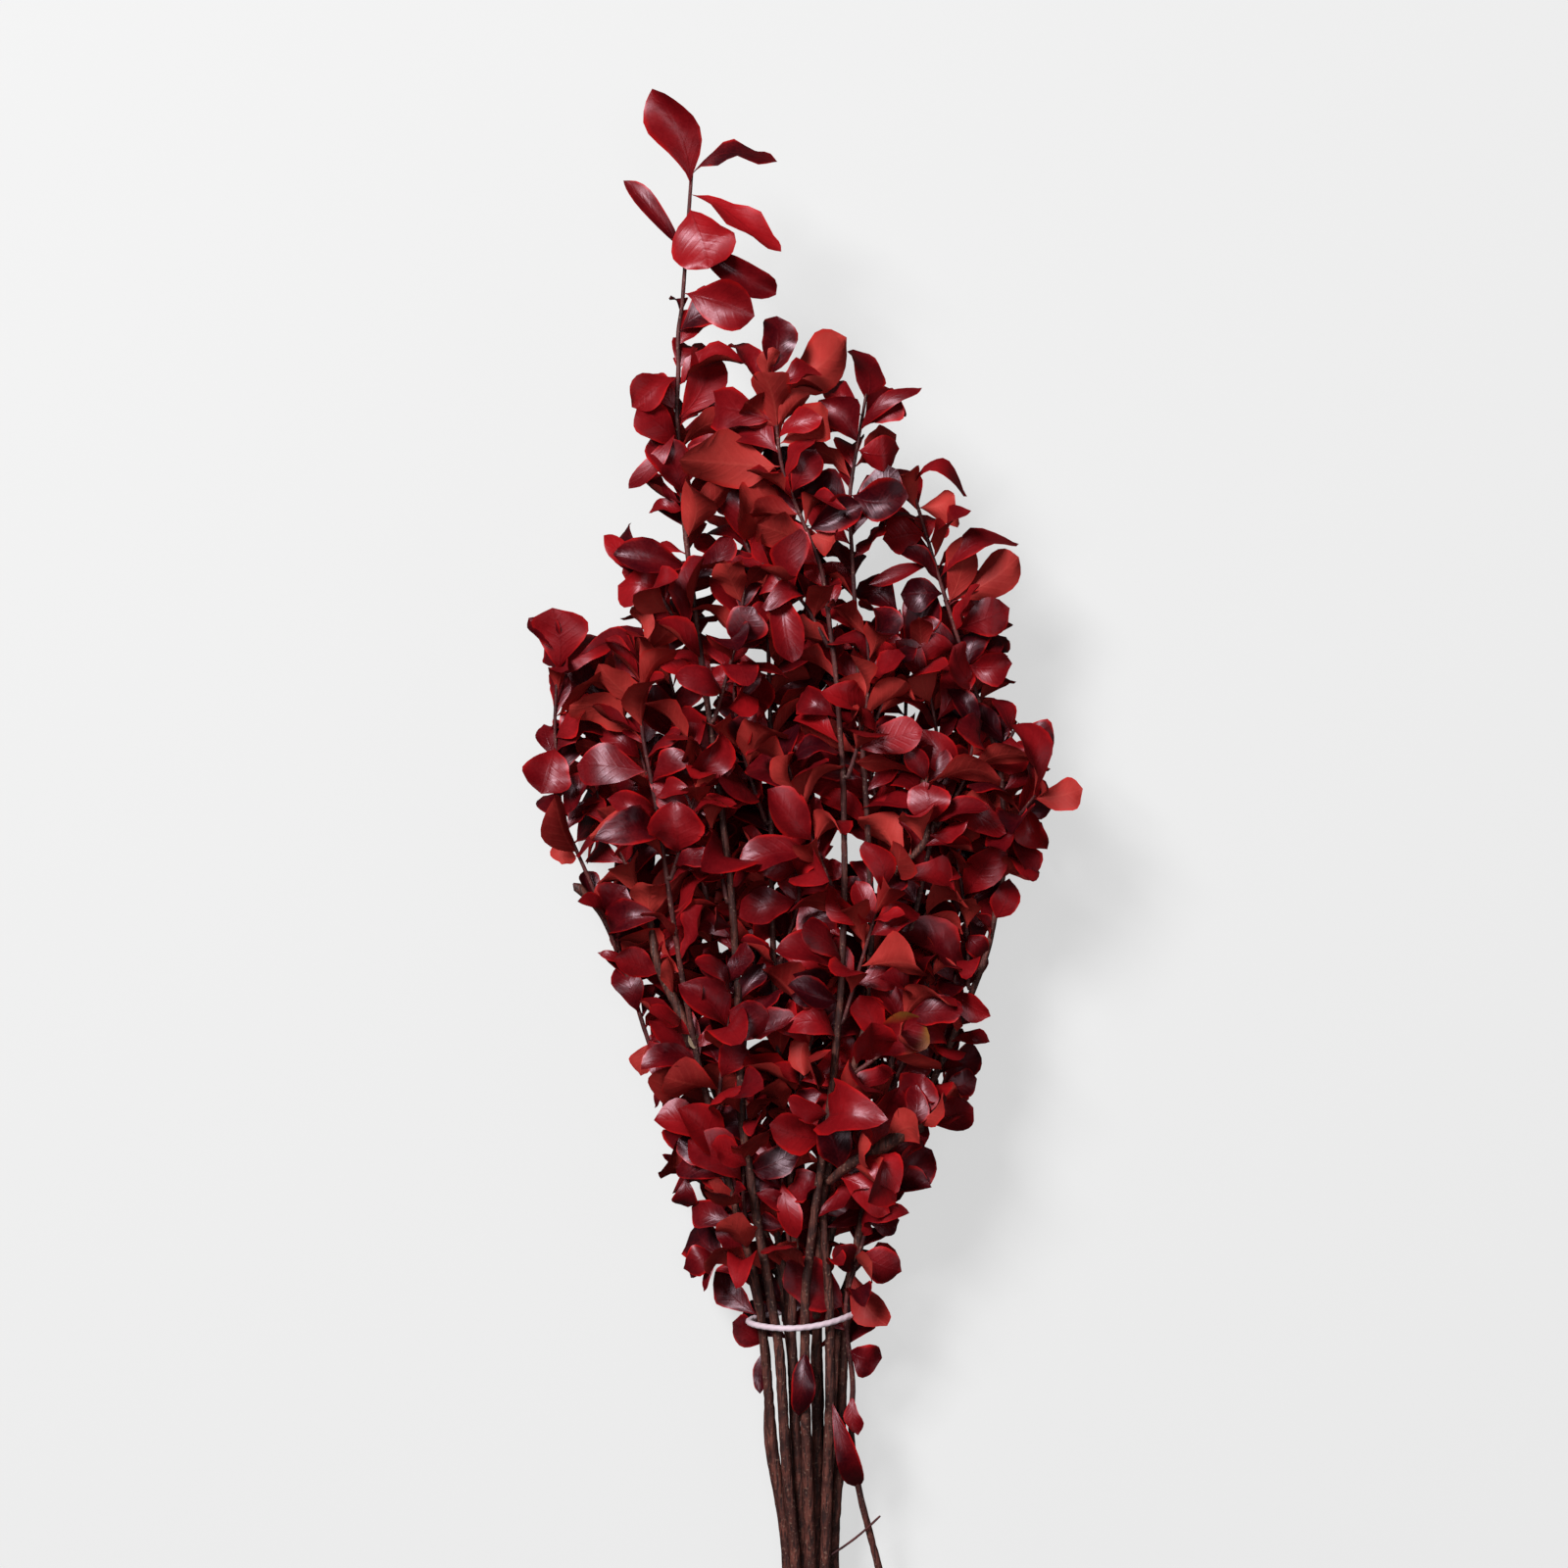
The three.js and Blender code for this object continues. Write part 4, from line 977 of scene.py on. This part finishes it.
# %% Forks and tips
# The wood is a little thicker than the frame's, which narrows the gaps between the stems.
WOOD_GIRTH = {"stem": 1.24, "twig": 1.25}
FOOT_TOP, FOOT_DEPTH = -178 * MM, 50 * MM  # where the stems begin to swell towards their cut ends
FOOT_SWELL = 0.08
FORK_DEPTH = 3.5 * MM  # how far a twig is led towards the middle of its stem
FORK_SWELL, FORK_FADE = 0.5, 3 * MM  # how much thicker it is there, and over what length that fades
TIP_RADIUS = 0.45 * MM
stem_points = np.vstack([shoot["line"] for name, shoot in plant.items() if name.endswith("_stem")])


def led_into_stem(name, shoot):
    """The middle line and radii of a shoot, with a fork at its foot and a fine tip."""
    line, radii = shoot["line"], shoot["radii"].copy()
    kind = "stem" if name.endswith("_stem") else "twig"
    radii *= WOOD_GIRTH[kind]
    if kind == "twig":
        near = stem_points[np.argmin(np.linalg.norm(stem_points - line[0], axis=1))]
        away = np.linalg.norm(near - line[0])
        middle = line[0] + (near - line[0]) * min(1, FORK_DEPTH / away)
        line, radii = np.vstack([middle, line]), np.concatenate([radii[:1], radii])
        walked = np.concatenate([[0], np.cumsum(np.linalg.norm(np.diff(line, axis=0), axis=1))])
        radii *= 1 + FORK_SWELL * np.exp(-walked / FORK_FADE)
    else:
        radii *= 1 + FOOT_SWELL * np.clip((FOOT_TOP - line[:, 1]) / FOOT_DEPTH, 0, 1)
    radii[-1] = TIP_RADIUS
    return line, radii


def nearest_on(line, point):
    """The point of a bent line that is nearest to another point."""
    starts, legs = line[:-1], np.diff(line, axis=0)
    share = np.clip(((point - starts) * legs).sum(1) / (legs**2).sum(1), 0, 1)
    feet = starts + legs * share[:, None]
    return feet[np.argmin(np.linalg.norm(feet - point, axis=1))]


# %% Numbers of a leaf
SHOWING = 0.4  # leaves turn one of their sides a little towards the light above
CROWN = 268 * MM  # above it is one lone shoot, with the broadest leaves of the bunch
CROWN_WIDTH = 1.15
CURLED = 0.45  # share of the leaves that curl over
# Painted shade: tips below the first height are darkened most, and above the second one get the full
# dye.
PAINTED_SHADE_BELOW, PAINTED_SHADE_ABOVE = 25 * MM, 80 * MM
PAINTED_SHADE_TONE = 0.2


def leaf_numbers(leaf, line):
    """The numbers that a leaf is bent and dyed by."""
    seat = nearest_on(line, leaf["seat"])
    forward = leaf["tip"] - seat
    length = np.linalg.norm(forward)
    forward = forward / length
    up = np.array((0, 0, math.copysign(SHOWING, leaf["face"][2])))
    face = leaf["face"] + up
    face -= forward * forward.dot(face)
    face /= np.linalg.norm(face)
    # Painted shade: the lower a leaf's tip lies in the bunch, the darker its tone is made.
    painted_depth_shade = float(np.interp(seat[2] + forward[2] * length, (PAINTED_SHADE_BELOW, PAINTED_SHADE_ABOVE), (PAINTED_SHADE_TONE, 1)))
    wedge, bluntness = random.uniform(0.7, 1.15), random.uniform(0.38, 0.6)
    share = wedge / (wedge + bluntness)
    curled = random.random() < CURLED
    return {
        "seat": seat,
        "forward": forward,
        "sideways": np.cross(forward, face),
        "face": face,
        "length": length,
        "width": leaf["width"] * random.uniform(0.95, 1.1) * (CROWN_WIDTH if seat[1] > CROWN else 1),
        "arch": leaf["arch"],
        "wedge": wedge,
        "bluntness": bluntness,
        "fullness": 1 / (share**wedge * (1 - share) ** bluntness),
        "waves": random.uniform(1.0, 1.8),
        "phase": random.uniform(0, math.tau),
        "lobes": random.uniform(0.04, 0.16),
        "ripple": random.uniform(0.03, 0.15),
        "fold": random.uniform(0.05, 0.75),
        "cup": random.uniform(-0.45, 0.35),
        "curl": random.uniform(0.12, 0.42) if curled else random.uniform(-0.2, 0.12),
        "twist": random.normal(0, 0.65),
        "sway": random.normal(0, 0.07),
        # A random dye tone, times the painted shade of low leaves.
        "dye_tone_and_painted_shade": float(np.clip(random.normal(0.45, 0.25) * painted_depth_shade, 0, 1)),
        "olive": 0.0,
    }


def seeds_mesh(name, line, radii, leaves):
    """The lines and points that the tree grows a shoot from."""
    corners = np.vstack([line] + [leaf["seat"][None] for leaf in leaves])
    mesh = bpy.data.meshes.new(name)
    mesh.from_pydata(corners.tolist(), [(i, i + 1) for i in range(len(line) - 1)], [])
    bare = len(line)
    girth = np.concatenate([radii, np.zeros(len(leaves))])
    mesh.attributes.new("girth", "FLOAT", "POINT").data.foreach_set("value", girth)
    is_seat = np.arange(len(corners)) >= bare
    mesh.attributes.new("is_seat", "BOOLEAN", "POINT").data.foreach_set("value", is_seat)
    for label in leaves[0] if leaves else ():
        values = np.array([leaf[label] for leaf in leaves])
        if values.ndim == 2:
            data = np.vstack([np.zeros((bare, 3)), values]).ravel()
            mesh.attributes.new(label, "FLOAT_VECTOR", "POINT").data.foreach_set("vector", data)
        else:
            data = np.concatenate([np.zeros(bare), values])
            mesh.attributes.new(label, "FLOAT", "POINT").data.foreach_set("value", data)
    return mesh


# %% The shoots
def grown(name, seeds, tree, settings):
    """Runs a tree on a mesh and keeps the result as a plain mesh."""
    growing = bpy.data.objects.new(name + "_growing", seeds)
    bpy.context.scene.collection.objects.link(growing)
    modifier = growing.modifiers.new("grow", "NODES")
    modifier.node_group = tree
    inputs = (item for item in tree.interface.items_tree if item.in_out == "INPUT")
    sockets = {item.name: item.identifier for item in inputs}
    for label, value in settings.items():
        modifier[sockets[label]] = value
    seen = growing.evaluated_get(bpy.context.evaluated_depsgraph_get())
    piece = bpy.data.objects.new(name, bpy.data.meshes.new_from_object(seen))
    bpy.data.objects.remove(growing)
    piece.data.name = name
    bpy.context.scene.collection.objects.link(piece)
    return piece


SHOOT_SETTINGS = {
    "Ring sides": 10,
    "Ring step": 2.5 * MM,
    "Knobs": 0.45,
    "Plies": 0.0,
    "Bark": bark,
    "Cut wood": cut_wood,
    "Pattern leaf": leaf_pattern,
    "Stalk share": 0.1,
    "Thickness": 0.32 * MM,
    "Leaf face": leaf_face,
    "Leaf back": leaf_back,
}

wood_lines = {}
for name, shoot in plant.items():
    line, radii = led_into_stem(name, shoot)
    shoot["numbers"] = [leaf_numbers(leaf, line) for leaf in shoot["leaves"]]
    wood_lines[name] = line, radii
print("drew numbers for", sum(len(shoot["numbers"]) for shoot in plant.values()), "leaves")

# %% The olive leaf
OLIVE_PLACE = np.array((42.0, -54.0)) * MM  # middle of the one leaf that stayed olive, in plan
OLIVE_REACH = 15 * MM  # the leaf is chosen no farther from there
FACING_WORTH = 30 * MM  # a leaf that faces the eye counts as this much higher

everyone = [numbers for shoot in plant.values() for numbers in shoot["numbers"]]
middles = np.array([n["seat"] + n["forward"] * n["length"] * 0.6 for n in everyone])
shown = middles[:, 2] + FACING_WORTH * np.abs([n["face"][2] for n in everyone])
shown[np.linalg.norm(middles[:, :2] - OLIVE_PLACE, axis=1) > OLIVE_REACH] = 0
everyone[np.argmax(shown)]["olive"] = 1.0
print("the olive leaf is", round(shown.max() / MM), "mm up, with what its facing is worth")

# %% Pieces
pieces = {}
for name, shoot in plant.items():
    seeds = seeds_mesh(name + "_seeds", *wood_lines[name], shoot["numbers"])
    pieces[name] = grown(name + "_grown", seeds, shoot_tree, SHOOT_SETTINGS)
faces = sum(len(piece.data.polygons) for piece in pieces.values())
print("grew", len(pieces), "shoots with", faces, "faces")

# %% [markdown]
# ## The tie
#
# The frame draws the tie as a loop of twenty-six flat-sided links. The same sweep that made the
# wood draws it again as a smooth cord along the middles of those links, with two fine strands.

# %% Tie
cord_tree, given, cord_end = new_tree("cord", WOOD_INPUTS)
loop = node_in(cord_tree, "GeometryNodeMeshToCurve", Mesh=given["Geometry"])
finish_tree(cord_tree, cord_end, [swept(cord_tree, given, output(loop, "Curve"))])
TIE_RADIUS = 1.45 * MM
LINKS, LINK_CORNERS = 26, 6  # of the frame's loop


def link_middles():
    """The middles of the frame's links, in order round the loop."""
    mesh = welded("tie")
    points = np.array([vert.co[:] for vert in mesh.verts])
    mesh.free()
    middle = (points.min(0) + points.max(0)) / 2
    order = np.argsort(np.arctan2(points[:, 2] - middle[2], points[:, 0] - middle[0]))
    return points[order].reshape(LINKS, LINK_CORNERS, 3).mean(1)


loop_line = link_middles()
loop_mesh = bpy.data.meshes.new("tie_seeds")
loop_edges = [(i, (i + 1) % LINKS) for i in range(LINKS)]
loop_mesh.from_pydata(loop_line.tolist(), loop_edges, [])
loop_mesh.attributes.new("girth", "FLOAT", "POINT").data.foreach_set("value", [TIE_RADIUS] * LINKS)
CORD_SETTINGS = {
    "Ring sides": 16,
    "Ring step": 0.9 * MM,
    "Knobs": 0.08,
    "Plies": 0.07,
    "Bark": elastic,
    "Cut wood": elastic,
}
tie = grown("tie_loop", loop_mesh, cord_tree, CORD_SETTINGS)
print("the tie has", len(tie.data.polygons), "faces")

# %% [markdown]
# ## What stands for what
#
# Every grown piece rides on the one body of the bunch and takes the place of its own node of the
# frame, so that the frame keeps the work of touching and weighing, and these pieces are only seen.

# %% Pieces in place of nodes
for name, piece in pieces.items():
    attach(piece, "root")
    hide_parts(name)
    "stem" if name.endswith("_stem") or name == "bare_twig" else "leafy_twig"
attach(tie, "root")
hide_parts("tie")
print(len(pieces) + 1, "pieces stand for", len(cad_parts), "nodes")

# %% [markdown]
# ## A pale table under soft boxes
#
# The photograph was taken over a pale, even ground with light from large soft boxes, so leaf faces
# shine in broad satin patches and the heart of the bunch goes nearly black, helped by the painted
# shade on its low leaves. One big box hangs over the leaves at the upper left, a weaker one fills
# from the right, and one more hangs overhead.

# %% Table
SEEN_WHITE, LIT_WHITE = 0.22, 0.03  # the table as the eye sees it, and as the light does
TABLE_GLOW = 0.606
TABLE_REACH = 30  # metres from the middle to an edge

floor_mesh = bpy.data.meshes.new("table")
floor_corners = [(x * TABLE_REACH, y * TABLE_REACH, 0) for x, y in ((-1, -1), (1, -1), (1, 1), (-1, 1))]
floor_mesh.from_pydata(floor_corners, [], [(0, 1, 2, 3)])
floor = bpy.data.objects.new("table", floor_mesh)
floor_material, floor_tree, floor_shader = material("pale table", Roughness=0.9, Specular_IOR_Level=0.1)
# The eye sees the table pale, but it throws little light back up, as dark cloth behind it would.
seen = output(floor_tree.nodes.new("ShaderNodeLightPath"), "Is Camera Ray")
shades = [(white, white, white, 1) for white in (LIT_WHITE, SEEN_WHITE)]
plug(
    floor_tree,
    [floor_shader.inputs[name] for name in ("Base Color", "Emission Color", "Emission Strength")],
    [mixed(floor_tree, seen, *shades), (1, 1, 1, 1), seen * TABLE_GLOW],
)
floor_mesh.materials.append(floor_material)
print("the table glows at", TABLE_GLOW)

# %% Light
SEEN_SKY, LIT_SKY = 0.8, 0.01  # the room as the eye sees it, and as the light does
BUNCH_MIDDLE = Vector((0, 0.05, 0.05))


def soft_box(name, place, size, power):
    """A square light at a place, facing the middle of the bunch."""
    data = bpy.data.lights.new(name, "AREA")
    data.size, data.energy = size, power
    box = bpy.data.objects.new(name, data)
    box.location = place
    box.rotation_euler = (BUNCH_MIDDLE - Vector(place)).to_track_quat("-Z", "Y").to_euler()
    return box


boxes = [
    soft_box("left box", (-1.6, 1.75, 3.0), 1.2, 178),
    soft_box("right box", (1.7, -0.5, 1.3), 1.2, 3.5),
    soft_box("top box", (0.1, 0.1, 2.7), 1.0, 10),
]
for thing in (floor, *boxes):
    bpy.context.scene.collection.objects.link(thing)
floor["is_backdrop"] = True

world = bpy.data.worlds.new("room")
world.use_nodes = True
sky = world.node_tree.nodes["Background"]
seen = output(world.node_tree.nodes.new("ShaderNodeLightPath"), "Is Camera Ray")
plug(world.node_tree, sky.inputs, ((1, 1, 1, 1), seen * SEEN_SKY + LIT_SKY))
bpy.context.scene.world = world
bpy.context.scene.view_settings.view_transform = "Standard"
print("lit by", len(boxes), "soft boxes")

# %% Size
shown_box = [list(corner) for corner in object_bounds()]
for low, high, cad_low, cad_high in zip(*shown_box, *cad_box):
    print("from", round(low, 4), "to", round(high, 4))
    print("in the frame", round(cad_low, 4), round(cad_high, 4))
